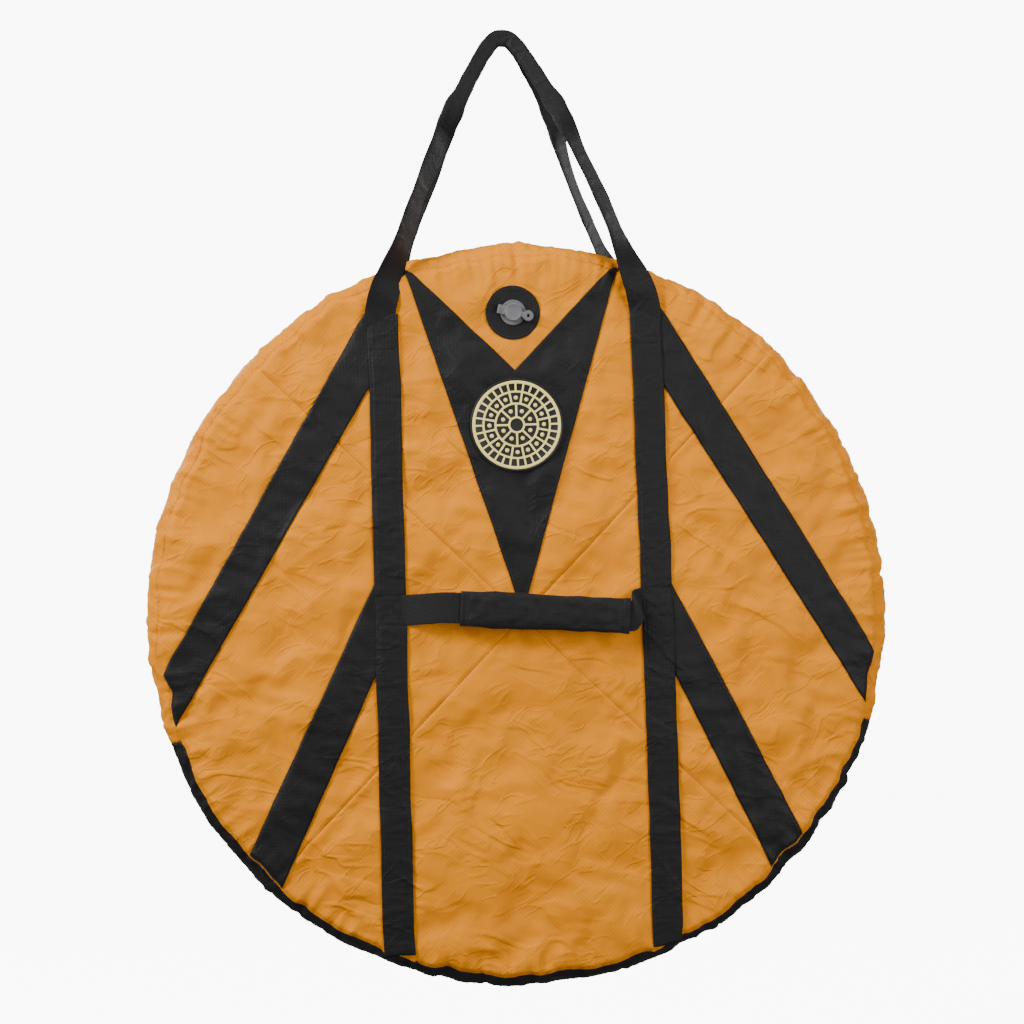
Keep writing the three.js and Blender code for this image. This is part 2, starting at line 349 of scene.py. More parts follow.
def round_box(size, radius, steps=5):
    """A box with rounded edges: a cube's corners pushed out along a sphere of that radius."""
    half = np.array(size) / 2 - radius
    angle = np.linspace(0, np.pi / 2, steps)
    latitudes = np.concatenate([angle - np.pi / 2, angle])
    up = np.repeat([-1, 1], steps)
    corners = [(1, 1, 0), (-1, 1, np.pi / 2), (-1, -1, np.pi), (1, -1, 1.5 * np.pi)]
    rows = []
    for latitude, z_sign in zip(latitudes, up):
        ring = []
        for x_sign, y_sign, start in corners:
            turn = start + angle
            ring.append(np.stack([
                x_sign * half[0] + radius * np.cos(latitude) * np.cos(turn),
                y_sign * half[1] + radius * np.cos(latitude) * np.sin(turn),
                np.full(steps, z_sign * half[2] + radius * np.sin(latitude))], -1))
        rows.append(np.concatenate(ring))
    points = np.stack(rows)
    return points.reshape(-1, 3), tube_faces(*points.shape[:2], flip=True)


def stitches(path, out, length=None, width=0.75 * MM, height=0.45 * MM, gap=0.3):
    """A row of sewn stitches along a path: each is a flattened spindle of three 4-point rings
    between two tips, lying on the surface whose outward direction is out."""
    length = length or bpy.context.scene.gong_bag_sizes.stitch_length
    path = np.asarray(path, float)
    distance = along_path(path)
    count = max(1, int(distance[-1] / length))
    middle = (np.arange(count) + 0.5) * distance[-1] / count

    def at(s):
        return np.stack([np.interp(s, distance, path[:, i]) for i in range(3)], -1)

    half = distance[-1] / count * (1 - gap) / 2
    start, end, centre = at(middle - half), at(middle + half), at(middle)
    out = np.broadcast_to(out, path.shape)
    normal = unit(np.stack([np.interp(middle, distance, out[:, i]) for i in range(3)], -1))
    side = unit(np.cross(end - start, normal))
    rings = []
    for share, size in ((-0.6, 0.8), (0, 1), (0.6, 0.8)):
        base = centre + share * (end - start) / 2
        rings.append(np.stack([base + side * width / 2 * size, base + normal * height * size,
                               base - side * width / 2 * size, base - normal * height * 0.4], 1))
    points = np.concatenate([start[:, None], *rings, end[:, None]], 1)
    ring = [(a, (a + 1) % 4) for a in range(4)]
    tips = [(0, 1 + b, 1 + a) for a, b in ring] + [(13, 9 + a, 9 + b) for a, b in ring]
    sides = [(k + b, k + a, k + 4 + a, k + 4 + b) for k in (1, 5) for a, b in ring]
    shift = (np.arange(count) * points.shape[1])[:, None, None]
    faces = [(np.array(part) + shift).reshape(-1, len(part[0])).tolist() for part in (tips, sides)]
    return points.reshape(-1, 3), faces[0] + faces[1]


def joined(parts):
    """One set of points and faces from several (points, faces) pairs."""
    points, faces, start = [], [], 0
    for p, f in parts:
        p = np.asarray(p, float).reshape(-1, 3)
        points.append(p)
        faces += [[i + start for i in face] for face in f]
        start += len(p)
    return np.concatenate(points), faces


def stitch_piece(name, rows, key, body, fold=False):
    """One piece from several rows of stitches."""
    points, faces = joined(rows)
    obj = new_object(name, place(points), faces, points[:, ::2])
    return finish_piece(obj, key, body, fold=fold)


# -------------------- materials
def add_node(tree, kind, inputs=(), **settings):
    """Adds a node, sets its properties, and links or fills its inputs by number or name."""
    node = tree.nodes.new(kind)
    for key, value in settings.items():
        setattr(node, key, value)
    pairs = inputs.items() if isinstance(inputs, dict) else enumerate(inputs)
    for key, value in pairs:
        if isinstance(value, bpy.types.NodeSocket):
            tree.links.new(value, node.inputs[key])
        elif value is not None:
            node.inputs[key].default_value = value
    return node


def new_material(name, colour, **sockets):
    """A Principled material; returns it with its tree and shader."""
    material = bpy.data.materials.new(name)
    material.use_nodes = True
    material.diffuse_color = tuple(colour)[:3] + (1,)
    shader = material.node_tree.nodes["Principled BSDF"]
    shader.inputs["Base Color"].default_value = tuple(colour)[:3] + (1,)
    for key, value in sockets.items():
        shader.inputs[key.replace("_", " ")].default_value = value
    return material, material.node_tree, shader


def math_node(tree, operation, *inputs):
    """The output of a Math node on sockets or numbers."""
    return add_node(tree, "ShaderNodeMath", inputs, operation=operation).outputs[0]


def cloth_place(tree, scale=1.0, turn=0.0):
    """The cloth's own flat coordinates in metres, turned and divided by a real size."""
    uv = add_node(tree, "ShaderNodeUVMap", uv_map="cloth").outputs["UV"]
    return add_node(tree, "ShaderNodeMapping", {
        "Vector": uv, "Rotation": (0, 0, turn), "Scale": (scale,) * 3}).outputs[0]


def thread_grid(tree, coordinates, pitch_share):
    """1 on the thick threads of a ripstop grid whose cells are one unit wide, 0 between."""
    parts = add_node(tree, "ShaderNodeSeparateXYZ", [coordinates]).outputs
    lines = []
    for axis in ("X", "Y"):
        saw = math_node(tree, "FRACT", parts[axis])
        centred = math_node(tree, "ABSOLUTE", math_node(tree, "SUBTRACT", saw, 0.5))
        lines.append(add_node(tree, "ShaderNodeMapRange", [
            centred, 0.5 - pitch_share, 0.5, 0.0, 1.0]).outputs[0])
    return math_node(tree, "MAXIMUM", *lines)


def mix_colours(tree, share, first, second, blend="MIX"):
    """The output of a Mix node on two colours, each a socket or a value."""
    node = add_node(tree, "ShaderNodeMix", data_type="RGBA", blend_type=blend)
    for key, value in ((0, share), (6, first), (7, second)):
        if isinstance(value, bpy.types.NodeSocket):
            tree.links.new(value, node.inputs[key])
        else:
            node.inputs[key].default_value = value
    return node.outputs[2]


def fold_lines(tree, size, turn, depth):
    """Thin ridges where stretched noise passes its middle value, fading in and out."""
    uv = cloth_place(tree, 1.0, turn)
    stretched = add_node(tree, "ShaderNodeMapping", {
        "Vector": uv, "Scale": (0.6 / size, 1.2 / size, 1.0)}).outputs[0]
    noise = add_node(tree, "ShaderNodeTexNoise", {
        "Vector": stretched, "Scale": 1.0, "Detail": 1.5, "Roughness": 0.4,
        "Distortion": 0.9}).outputs["Fac"]
    gap = math_node(tree, "ABSOLUTE", math_node(tree, "SUBTRACT", noise, 0.5))
    line = add_node(tree, "ShaderNodeMapRange", [gap, 0.0, 0.10, depth, 0.0],
                    interpolation_type="SMOOTHERSTEP").outputs[0]
    mask = add_node(tree, "ShaderNodeTexNoise", {
        "Vector": stretched, "Scale": 0.7, "Detail": 1.0}).outputs["Fac"]
    fade = add_node(tree, "ShaderNodeMapRange", [mask, 0.42, 0.6, 0.0, 1.0]).outputs[0]
    return math_node(tree, "MULTIPLY", line, fade)


def ripstop(name, colour, line_colour, shade_colour, turn, roughness, crumple, gloss, sheen=0.0):
    """Coated nylon ripstop: a fine plain weave with a grid of thicker threads, which reads as a
    faint lattice, softly shiny where the coating catches light, with small crumples."""
    pitch = bpy.context.scene.gong_bag_sizes.ripstop_pitch
    material, tree, shader = new_material(
        name, colour, Roughness=roughness, Specular_IOR_Level=gloss, Sheen_Weight=sheen,
        Sheen_Roughness=0.4)
    grid = thread_grid(tree, cloth_place(tree, 1 / pitch, turn), 0.13)
    uv = cloth_place(tree)
    broad = add_node(tree, "ShaderNodeTexNoise", {
        "Vector": uv, "Scale": 9.0, "Detail": 3.0, "Roughness": 0.55}).outputs["Fac"]
    worn = add_node(tree, "ShaderNodeMapRange", [broad, 0.35, 0.72, 0.0, 0.5]).outputs[0]
    base = mix_colours(tree, worn, colour, shade_colour)
    faint = math_node(tree, "MULTIPLY", grid, 0.4)
    tree.links.new(mix_colours(tree, faint, base, line_colour), shader.inputs["Base Color"])
    # Fine fold lines a few mm wide and the thread grid. The weave itself, 0.2 mm, is too fine to
    # show, so its grain is drawn at 0.9 mm.
    ridge = fold_lines(tree, 62 * MM, 0.35, 1.0)
    ridge = math_node(tree, "ADD", ridge, fold_lines(tree, 27 * MM, -0.5, 0.5))
    grain = add_node(tree, "ShaderNodeTexNoise", {
        "Vector": uv, "Scale": 1 / (0.9 * MM), "Detail": 1.0}).outputs["Fac"]
    height = math_node(tree, "ADD", math_node(tree, "MULTIPLY", ridge, crumple),
                       math_node(tree, "MULTIPLY", grid, 0.10))
    height = math_node(tree, "ADD", height, math_node(tree, "MULTIPLY", grain, 0.06))
    bump = add_node(tree, "ShaderNodeBump", {
        "Height": height, "Strength": 1.0, "Distance": 1.6 * MM})
    tree.links.new(bump.outputs[0], shader.inputs["Normal"])
    return material


def webbing_material(name, colour, rib_pitch, along):
    """Woven polyester webbing: rows of tight ribs, matt with a low sheen, and a painted highlight
    on the rib tops and painted shade in the valleys between them.
    """
    material, tree, shader = new_material(
        name, colour, Roughness=0.72, Specular_IOR_Level=0.3, Sheen_Weight=0.1)
    place_uv = cloth_place(tree, 1 / rib_pitch)
    parts = add_node(tree, "ShaderNodeSeparateXYZ", [place_uv]).outputs
    across, length = (parts["X"], parts["Y"]) if along else (parts["Y"], parts["X"])
    wave = math_node(tree, "SINE", math_node(tree, "MULTIPLY", across, 2 * math.pi))
    pick = math_node(tree, "SINE", math_node(tree, "MULTIPLY", length, 2 * math.pi * 1.7))
    height = math_node(tree, "ADD", math_node(tree, "MULTIPLY", wave, 0.3),
                       math_node(tree, "MULTIPLY", math_node(tree, "MULTIPLY", wave, pick), 0.2))
    # painted highlight and shade: the colour goes from 0.7 times in the rib valleys to 1.35 times
    # on the rib tops
    light = add_node(tree, "ShaderNodeMapRange", [height, -0.5, 0.5, 0.7, 1.35]).outputs[0]
    shade = add_node(tree, "ShaderNodeCombineColor", [light, light, light]).outputs[0]
    tree.links.new(mix_colours(tree, 1.0, tuple(colour)[:3] + (1,), shade, "MULTIPLY"),
                   shader.inputs["Base Color"])
    bump = add_node(tree, "ShaderNodeBump", {
        "Height": height, "Strength": 0.6, "Distance": 0.5 * MM})
    tree.links.new(bump.outputs[0], shader.inputs["Normal"])
    return material


def moulded(name, colour, roughness, grain=0.4 * MM, depth=0.05 * MM, metallic=0.0, wear=None):
    """A moulded or cast surface: even colour with a fine spark-eroded grain."""
    material, tree, shader = new_material(name, colour, Roughness=roughness, Metallic=metallic)
    place_object = add_node(tree, "ShaderNodeTexCoord").outputs["Object"]
    fine = add_node(tree, "ShaderNodeTexNoise", {
        "Vector": place_object, "Scale": 1 / grain, "Detail": 2.0}).outputs["Fac"]
    bump = add_node(tree, "ShaderNodeBump", {
        "Height": fine, "Strength": 0.5, "Distance": depth})
    tree.links.new(bump.outputs[0], shader.inputs["Normal"])
    if wear:
        broad = add_node(tree, "ShaderNodeTexNoise", {
            "Vector": place_object, "Scale": 1 / (14 * MM), "Detail": 4.0}).outputs["Fac"]
        share = add_node(tree, "ShaderNodeMapRange", [broad, 0.45, 0.75, 0.0, 0.6]).outputs[0]
        tree.links.new(mix_colours(tree, share, tuple(colour)[:3] + (1,), wear),
                       shader.inputs["Base Color"])
    return material


def make_materials():
    """All finishes of the bag, by a short name."""
    colours = bpy.context.scene.gong_bag_colours
    orange, black = tuple(colours.orange) + (1,), tuple(colours.black) + (1,)
    quarter = math.radians(45)
    return {
        # golden, deeper in its worn patches, with a slanted lattice that barely shows
        "orange": ripstop("orange_nylon_ripstop_coated", orange, linear("CE7600"),
                          linear("E68700"), quarter, 0.5, 0.9, 0.08),
        # near black, greyer where a fold turns towards the light
        "black": ripstop("black_nylon_ripstop_coated", black, linear("1A1A1B"),
                         linear("0F0F10"), 0.0, 0.62, 0.6, 0.28, 0.02),
        # flat black without a visible lattice
        "band": ripstop("black_nylon_taffeta_woven", linear("0E0E0E"), linear("121212"),
                        linear("0C0C0C"), 0.0, 0.6, 0.35, 0.3, 0.05),
        # dull charcoal with a soft lustre
        "lining": ripstop("charcoal_polyester_taffeta_lining", linear("242427"),
                          linear("2C2C30"), linear("202022"), 0.0, 0.7, 0.5, 0.3, 0.1),
        # rows of ribs, each with a thin painted highlight along its top and painted shade between
        "webbing": webbing_material("black_polyester_webbing_ribbed", linear("111112"),
                                    1.7 * MM, True),
        # finer ribs, matt
        "tape": webbing_material("black_polyester_zip_tape_knitted", linear("131314"),
                                 1.1 * MM, True),
        # thread a shade lighter or darker than the cloth it lies in, slightly waxy
        "thread": moulded("black_bonded_nylon_thread_sewn", linear("2A2A2B"), 0.55),
        "orange_thread": moulded("ochre_bonded_nylon_thread_sewn", linear("7A4A0A"), 0.6),
        # soft rubber: black and cream, dull with faint handling marks
        "rubber": moulded("black_pvc_rubber_moulded", linear("0E0E0E"), 0.55, 0.5 * MM,
                          0.06 * MM, wear=linear("141414")),
        "cream": moulded("cream_pvc_rubber_moulded", tuple(colours.cream) + (1,), 0.5, 0.6 * MM,
                         0.05 * MM, wear=linear("FFE478")),
        # satin grey plastic
        "valve": moulded("grey_tpu_moulded", tuple(colours.valve) + (1,), 0.42, 0.5 * MM,
                         0.05 * MM, wear=linear("757577")),
        # zip parts: glossy nylon teeth, dark metal that is polished by use
        "coil": moulded("black_nylon_coil_extruded", linear("161617"), 0.4),
        "metal": moulded("black_oxide_zinc_alloy_die_cast", linear("26262A"), 0.32, 0.3 * MM,
                         0.03 * MM, 1.0, wear=linear("1C1C20")),
        # milky smooth film, and dull foam with visible cells
        "film": moulded("natural_tpu_film_welded", linear("C9C9C2"), 0.35),
        "foam": moulded("charcoal_polyethylene_foam_closed_cell", linear("343437"), 0.9, 1.6 * MM,
                        0.3 * MM),
    }


# -------------------- the panels' cloth
# Each band: near end and far end as (x, z), and its width at each
UPPER_BAND = ((190 * MM, 373 * MM), (477 * MM, -105 * MM), 55 * MM, 48 * MM)
LOWER_BAND = ((190 * MM, 3 * MM), (360 * MM, -346 * MM), 52 * MM, 58 * MM)
V_TIP, V_NOTCH = (0, 3 * MM), (0, 330 * MM)
V_OUTER, V_INNER = (144 * MM, 469 * MM), (133 * MM, 464 * MM)
QUILT_SLOPE = math.sqrt(0.5)
PACKING_CREASES = (315 * MM, -75 * MM)
SEAM_DIP = 7 * MM  # how deep the cloth is pulled in at the rim seam
MOVE_LIMIT = 8 * MM  # how far the draped cloth may leave its place
RUCK_COUNT = 150
TUCK_COUNT = 58


def quilt_distance(x, z):
    """Distance to the nearer of the two quilting seams, straight lines at 45 degrees."""
    return np.minimum(np.abs(x - z), np.abs(x + z)) * QUILT_SLOPE


def lattice(radius, spacing):
    """A triangular lattice of points inside a circle, with one ring of points on it."""
    count = int(radius / spacing / 0.85) + 3
    i, j = np.meshgrid(np.arange(-count, count + 1), np.arange(-count, count + 1), indexing="ij")
    x, z = (i + 0.5 * (j % 2)) * spacing, j * spacing * math.sqrt(0.75)
    inside = np.hypot(x, z) < radius - 0.6 * spacing
    angle = np.linspace(0, 2 * np.pi, int(2 * np.pi * radius / spacing), endpoint=False)
    rim = radius * np.stack([np.cos(angle), np.sin(angle)], -1)
    return np.concatenate([np.stack([x[inside], z[inside]], -1), rim])


def triangulated(points):
    """Delaunay triangles of flat points, and the points in the order that they use."""
    vertices, _, faces, *_ = geometry.delaunay_2d_cdt(
        [Vector(p) for p in points.tolist()], [], [], 0, 1e-7)
    return np.array([tuple(v) for v in vertices]), np.array([list(f) for f in faces])


def holding(x, z, side, spacing):
    """How firmly each point of a panel is held: 1 where it is sewn down, near 0 where free."""
    r = np.hypot(x, z)
    held = np.full(len(x), 0.010)  # the soft bed holds every point a little
    held = np.maximum(held, r > SEAM_RADIUS - 1.2 * spacing)
    held = np.maximum(held, np.abs(np.abs(x) - strap_middle(z, x)) < STRAP_WIDTH / 2)
    held = np.maximum(held, np.clip(1.35 - quilt_distance(x, z) / (0.6 * spacing), 0, 1))
    if side == FRONT:
        for start, end, near, _ in (UPPER_BAND, LOWER_BAND):
            band = line_distance(np.abs(x), z, start, end) < near / 2
            held = np.maximum(held, 0.55 * band)
        for start, end in ((V_TIP, V_OUTER), (V_NOTCH, V_INNER)):
            edge = line_distance(np.abs(x), z, start, end) < 0.7 * spacing
            held = np.maximum(held, 0.9 * edge)
        flat_spots = (np.hypot(x - EMBLEM[0], z - EMBLEM[2]) < EMBLEM_RADIUS + 2 * MM)
        flat_spots |= np.hypot(x, z - VALVE[2]) < 30 * MM
        held = np.maximum(held, flat_spots)
    return held


def draped(side, seed):
    """Rest places and simulated moves of a panel's points: slack cloth, held along its seams and
    on a soft bed, buckles into wrinkles. The result is subdivided once."""
    sizes = bpy.context.scene.gong_bag_sizes
    spacing = sizes.drape_spacing
    flat, faces = triangulated(lattice(SEAM_RADIUS, spacing))
    x, z = flat.T
    held = holding(x, z, side, spacing)
    loose = (1 - np.clip(held, 0, 1)) ** 2
    start = loose * (1.6 * MM * waves(flat, 130 * MM, seed)
                     + 0.8 * MM * waves(flat, 60 * MM, seed + 1))
    height = bulge(np.hypot(x, z)) + start
    rest = np.stack([x, side * bulge(np.hypot(x, z)), z], -1)
    obj = new_object("drape", np.stack([x, side * height, z], -1), faces)
    group = obj.vertex_groups.new(name="held")
    levels = np.round(held, 3)
    for level in np.unique(levels):
        group.add(np.nonzero(levels == level)[0].tolist(), float(level), "REPLACE")
    simulate(obj, sizes)
    fine = obj.modifiers.new("finer", "SUBSURF")
    fine.levels = fine.render_levels = 1
    moved = evaluated_points(obj)
    obj.modifiers.clear()
    obj.data.vertices.foreach_set("co", rest.ravel())
    fine = obj.modifiers.new("finer", "SUBSURF")
    fine.levels = fine.render_levels = 1
    rest_fine = evaluated_points(obj)
    bpy.data.objects.remove(obj)
    return rest_fine, moved


def simulate(obj, sizes):
    """Runs Blender's cloth on obj from frame 1 and leaves the modifier at its last frame."""
    cloth = obj.modifiers.new("cloth", "CLOTH")
    settings = cloth.settings
    settings.quality = 5
    settings.mass = 0.15
    settings.tension_stiffness = settings.compression_stiffness = 15
    settings.shear_stiffness = 8
    settings.bending_stiffness = 2.5
    settings.tension_damping = settings.compression_damping = settings.shear_damping = 8
    settings.bending_damping = 0.5
    settings.vertex_group_mass = "held"
    settings.pin_stiffness = 1
    settings.shrink_min = -sizes.slack
    settings.effector_weights.gravity = 0
    cloth.collision_settings.use_collision = False
    cloth.point_cache.frame_start = 1
    cloth.point_cache.frame_end = sizes.drape_frames
    for step in range(1, sizes.drape_frames + 1):
        bpy.context.scene.frame_set(step)


def evaluated_points(obj):
    """Places of the points that the object's modifiers give, as an (n, 3) array."""
    depsgraph = bpy.context.evaluated_depsgraph_get()
    depsgraph.update()
    mesh = obj.evaluated_get(depsgraph).to_mesh()
    points = np.zeros(len(mesh.vertices) * 3)
    mesh.vertices.foreach_get("co", points)
    return points.reshape(-1, 3)


class ClothField:
    """The moves of a draped panel on a square raster, read back anywhere by bilinear mixing."""

    def __init__(self, side, rest, moved, step=4.2 * MM):
        self.side, self.step = side, step
        self.count = int(2 * SEAM_RADIUS / step) + 5
        cell = np.rint((rest[:, ::2] + SEAM_RADIUS) / step).astype(int) + 2
        index = cell[:, 0] * self.count + cell[:, 1]
        size = self.count ** 2
        number = np.bincount(index, minlength=size)
        move = moved - rest
        move[:, 1] = MOVE_LIMIT * np.tanh(move[:, 1] / MOVE_LIMIT)
        raster = [np.bincount(index, move[:, i], size) for i in range(3)]
        raster = np.stack(raster, -1).reshape(self.count, self.count, 3)
        weight = number.reshape(self.count, self.count, 1).astype(float)
        raster, weight = self.blurred(raster, 1), self.blurred(weight, 1)
        self.raster = raster / np.maximum(weight, 0.01)
        self.soft = self.blurred(self.raster, 12)

    def blurred(self, raster, times):
        """The raster mixed with its neighbours by 1-2-1 weights along both axes, times over."""
        for _ in range(times):
            for axis in (0, 1):
                raster = (np.roll(raster, 1, axis) + 2 * raster + np.roll(raster, -1, axis)) / 4
        return raster

    def moves(self, x, z, soft=False):
        """The move at (x, z): the four raster points round it, mixed by nearness."""
        raster = self.soft if soft else self.raster
        u = np.clip((x + SEAM_RADIUS) / self.step + 2, 0, self.count - 1.001)
        v = np.clip((z + SEAM_RADIUS) / self.step + 2, 0, self.count - 1.001)
        i, j = u.astype(int), v.astype(int)
        a, b = (u - i)[..., None], (v - j)[..., None]
        return ((1 - a) * (1 - b) * raster[i, j] + a * (1 - b) * raster[i + 1, j]
                + (1 - a) * b * raster[i, j + 1] + a * b * raster[i + 1, j + 1])

    def at(self, x, z, lift=0.0, soft=False):
        """Points on the cloth over (x, z), raised by lift along the bag's axis."""
        x, z = np.asarray(x, float), np.asarray(z, float)
        x, z = np.broadcast_arrays(x, z)
        r = np.hypot(x, z)
        move = self.moves(x, z, soft)
        height = bulge(r) + self.detail(x, z, r) * (0 if soft else 1) + lift
        points = np.stack([x, self.side * height, z], -1) + move
        return points + self.rim_shift(x, z, r)

    def detail(self, x, z, r):
        """Sewn and packed-in shapes: a groove at each quilting seam, gathers that fade inwards
        from the rim, and level creases from folding."""
        angle = np.arctan2(x, z)
        held = np.abs(np.abs(x) - strap_middle(z, x)) < STRAP_WIDTH / 2 + 1 * MM
        groove = -1.5 * MM * bump_line(quilt_distance(x, z), 1.7 * MM)
        groove += 0.7 * MM * bump_line(quilt_distance(x, z) - 6 * MM, 5 * MM)
        rim = np.stack([np.cos(angle), np.sin(angle)], -1)
        gather = 1.3 * MM * waves(rim, 0.055, seed=31)
        gather = gather * smooth_step(r, SEAM_RADIUS - 60 * MM, SEAM_RADIUS)
        dip = -SEAM_DIP * smooth_step(r, SEAM_RADIUS - 7 * MM, SEAM_RADIUS)
        crease = np.zeros_like(x)
        for level in PACKING_CREASES:
            drift = 5 * MM * waves(x[..., None], 0.3, seed=41)
            strength = smooth_step(waves(x[..., None], 0.16, seed=43), -0.6, 0.6)
            crease = crease - 0.9 * MM * strength * bump_line(z - level - drift, 2.4 * MM)
            crease = crease + 0.6 * MM * strength * bump_line(z - level - drift - 8 * MM, 6 * MM)
        crease = crease + rucks(x, z, self.side)
        return np.where(held, 0, groove + crease) + (gather + dip) * np.where(held, 0.4, 1)

    def rim_shift(self, x, z, r):
        """The seam is not a true circle: tucks pull it in here and there."""
        angle = np.arctan2(x, z)
        shift = seam_wander(angle, self.side) * smooth_step(r, SEAM_RADIUS - 45 * MM, SEAM_RADIUS)
        inverse = 1 / np.maximum(r, 1e-6)
        return np.stack([x * inverse * shift, np.zeros_like(x), z * inverse * shift], -1)


def rucks(x, z, side):
    """Sharp creases scattered over a panel: each follows a slightly bent line of limited length
    and falls off steeply on one side and gently on the other."""
    rng = np.random.default_rng(70 + side)
    height = np.zeros_like(x)
    for _ in range(RUCK_COUNT):
        middle = rng.uniform(-0.45, 0.45, 2)
        turn = rng.normal(0.1, 0.75)
        half = rng.uniform(20, 95) * MM
        size = rng.uniform(0.4, 2.6) * MM * rng.choice((-0.7, 1))
        along = (x - middle[0]) * math.cos(turn) + (z - middle[1]) * math.sin(turn)
        across = (z - middle[1]) * math.cos(turn) - (x - middle[0]) * math.sin(turn)
        across = across - rng.uniform(-3, 3) * along ** 2
        window = np.clip(1 - (along / half) ** 2, 0, 1) ** 1.5
        run = np.sqrt(across ** 2 + (0.6 * MM) ** 2)
        height = height + size * window * np.exp(-run / np.where(across > 0, 4 * MM, 13 * MM))
    return height


def tucks(side):
    """Angles from the top, strengths and slants of the gathers sewn into a rim seam."""
    rng = np.random.default_rng(90 + side)
    number = np.arange(TUCK_COUNT) + rng.uniform(-0.38, 0.38, TUCK_COUNT)
    angle = number * 2 * np.pi / TUCK_COUNT - np.pi
    return angle, rng.uniform(0.25, 1, TUCK_COUNT), rng.uniform(-0.7, 0.7, TUCK_COUNT)


def seam_wander(angle, side):
    """How far the seam lies outside its circle: broad drift, less a notch at each tuck."""
    total = 2.0 * MM * waves(np.stack([np.cos(angle), np.sin(angle)], -1), 0.22, seed=51 + side)
    for where, strength, _ in zip(*tucks(side)):
        gap = (angle - where + np.pi) % (2 * np.pi) - np.pi
        total = total - 2.2 * MM * strength * bump_line(gap * SEAM_RADIUS, 9 * MM)
    return total


# -------------------- shared while one bag is made
class Workshop:
    """What the operators share while one bag is made."""
    materials = {}
    fields = {}


def materials(key):
    """A finish of the bag by its short name; all are made at the first call."""
    if not Workshop.materials:
        Workshop.materials = make_materials()
    return Workshop.materials[key]


def field(side):
    """The draped cloth of one side, simulated at the first call."""
    if side not in Workshop.fields:
        Workshop.fields[side] = ClothField(side, *draped(side, 7 if side == FRONT else 19))
    return Workshop.fields[side]


def panel_points(spacing):
    """Flat points of a finished panel: a lattice, thinned beside the quilting seams, with rows
    of points along each seam so that its groove stays crisp, and close rings at the rim."""
    flat = lattice(SEAM_RADIUS, spacing)
    x, z = flat.T
    keep = (quilt_distance(x, z) > 4.5 * MM) & (np.hypot(x, z) < SEAM_RADIUS - 8 * MM)
    parts = [flat[keep]]
    run = np.arange(-SEAM_RADIUS + 8 * MM, SEAM_RADIUS - 8 * MM, spacing)
    for offset in (-3 * MM, -1.2 * MM, 0, 1.2 * MM, 3 * MM):
        for slope in (1, -1):
            row = np.stack([run + offset, slope * (run - offset)], -1) * QUILT_SLOPE
            parts.append(row[np.abs(run) >= 5 * MM])
    parts.append(np.zeros((1, 2)))
    for inset in (0, 1.5 * MM, 3.5 * MM, 6 * MM):
        radius = SEAM_RADIUS - inset
        angle = np.linspace(0, 2 * np.pi, 1200, endpoint=False)
        parts.append(radius * np.stack([np.sin(angle), np.cos(angle)], -1))
    return np.concatenate(parts)


class GONGBAG_OT_panels(bpy.types.Operator):
    """Sew the front and back panels from draped ripstop"""
    bl_idname = "gongbag.panels"
    bl_label = "Panels"

    def execute(self, context):
        spacing = context.scene.gong_bag_sizes.cloth_spacing
        flat, faces = triangulated(panel_points(spacing))
        for side, name, nodes in (
                (FRONT, "front_cloth", ("upper_front_panel", "lower_front_panel")),
                (BACK, "back_cloth", ("back_panel",))):
            points = field(side).at(flat[:, 0], flat[:, 1])
            turned = faces if side == FRONT else faces[:, ::-1]
            obj = new_object(name, place(points), turned, flat)
            finish_piece(obj, "orange", "back_shell", nodes,
                         fold=side == FRONT)
            rows = []
            reach = SEAM_RADIUS - 6 * MM
            for slope in (1, -1):
                run = np.arange(-reach, reach, 3 * MM) * QUILT_SLOPE
                hidden = np.abs(np.abs(run) - STRAP_X) < STRAP_WIDTH / 2
                pieces = np.split(np.arange(len(run)), np.nonzero(np.diff(hidden))[0] + 1)
                for part in pieces:
                    if len(part) > 4 and not hidden[part[0]]:
                        path = field(side).at(run[part], slope * run[part], 0.2 * MM)
                        rows.append(stitches(path, (0, side, 0)))
            stitch_piece(f"{name}_quilting", rows, "orange_thread",
                         "back_shell", fold=side == FRONT)
        return {"FINISHED"}


# -------------------- gusset
BINDING_INSET = 14 * MM  # from the seam to the tape's folded edge


def rim_angles(z_edge, above, spacing=4 * MM):
    """Angles from the top round the part of the rim above or below a level line."""
    limit = math.acos(np.clip(z_edge / RIM_RADIUS, -1, 1))
    ends = (-limit, limit) if above else (limit, 2 * np.pi - limit)
    count = int((ends[1] - ends[0]) * RIM_RADIUS / spacing)
    return np.linspace(*ends, count)


def round_rim(angle, radius, y):
    """Points at angles from the top round the bag's axis: (radius sin, y, radius cos)."""
    angle, radius, y = np.broadcast_arrays(angle[:, None], radius, y)
    return np.stack([radius * np.sin(angle), y, radius * np.cos(angle)], -1)


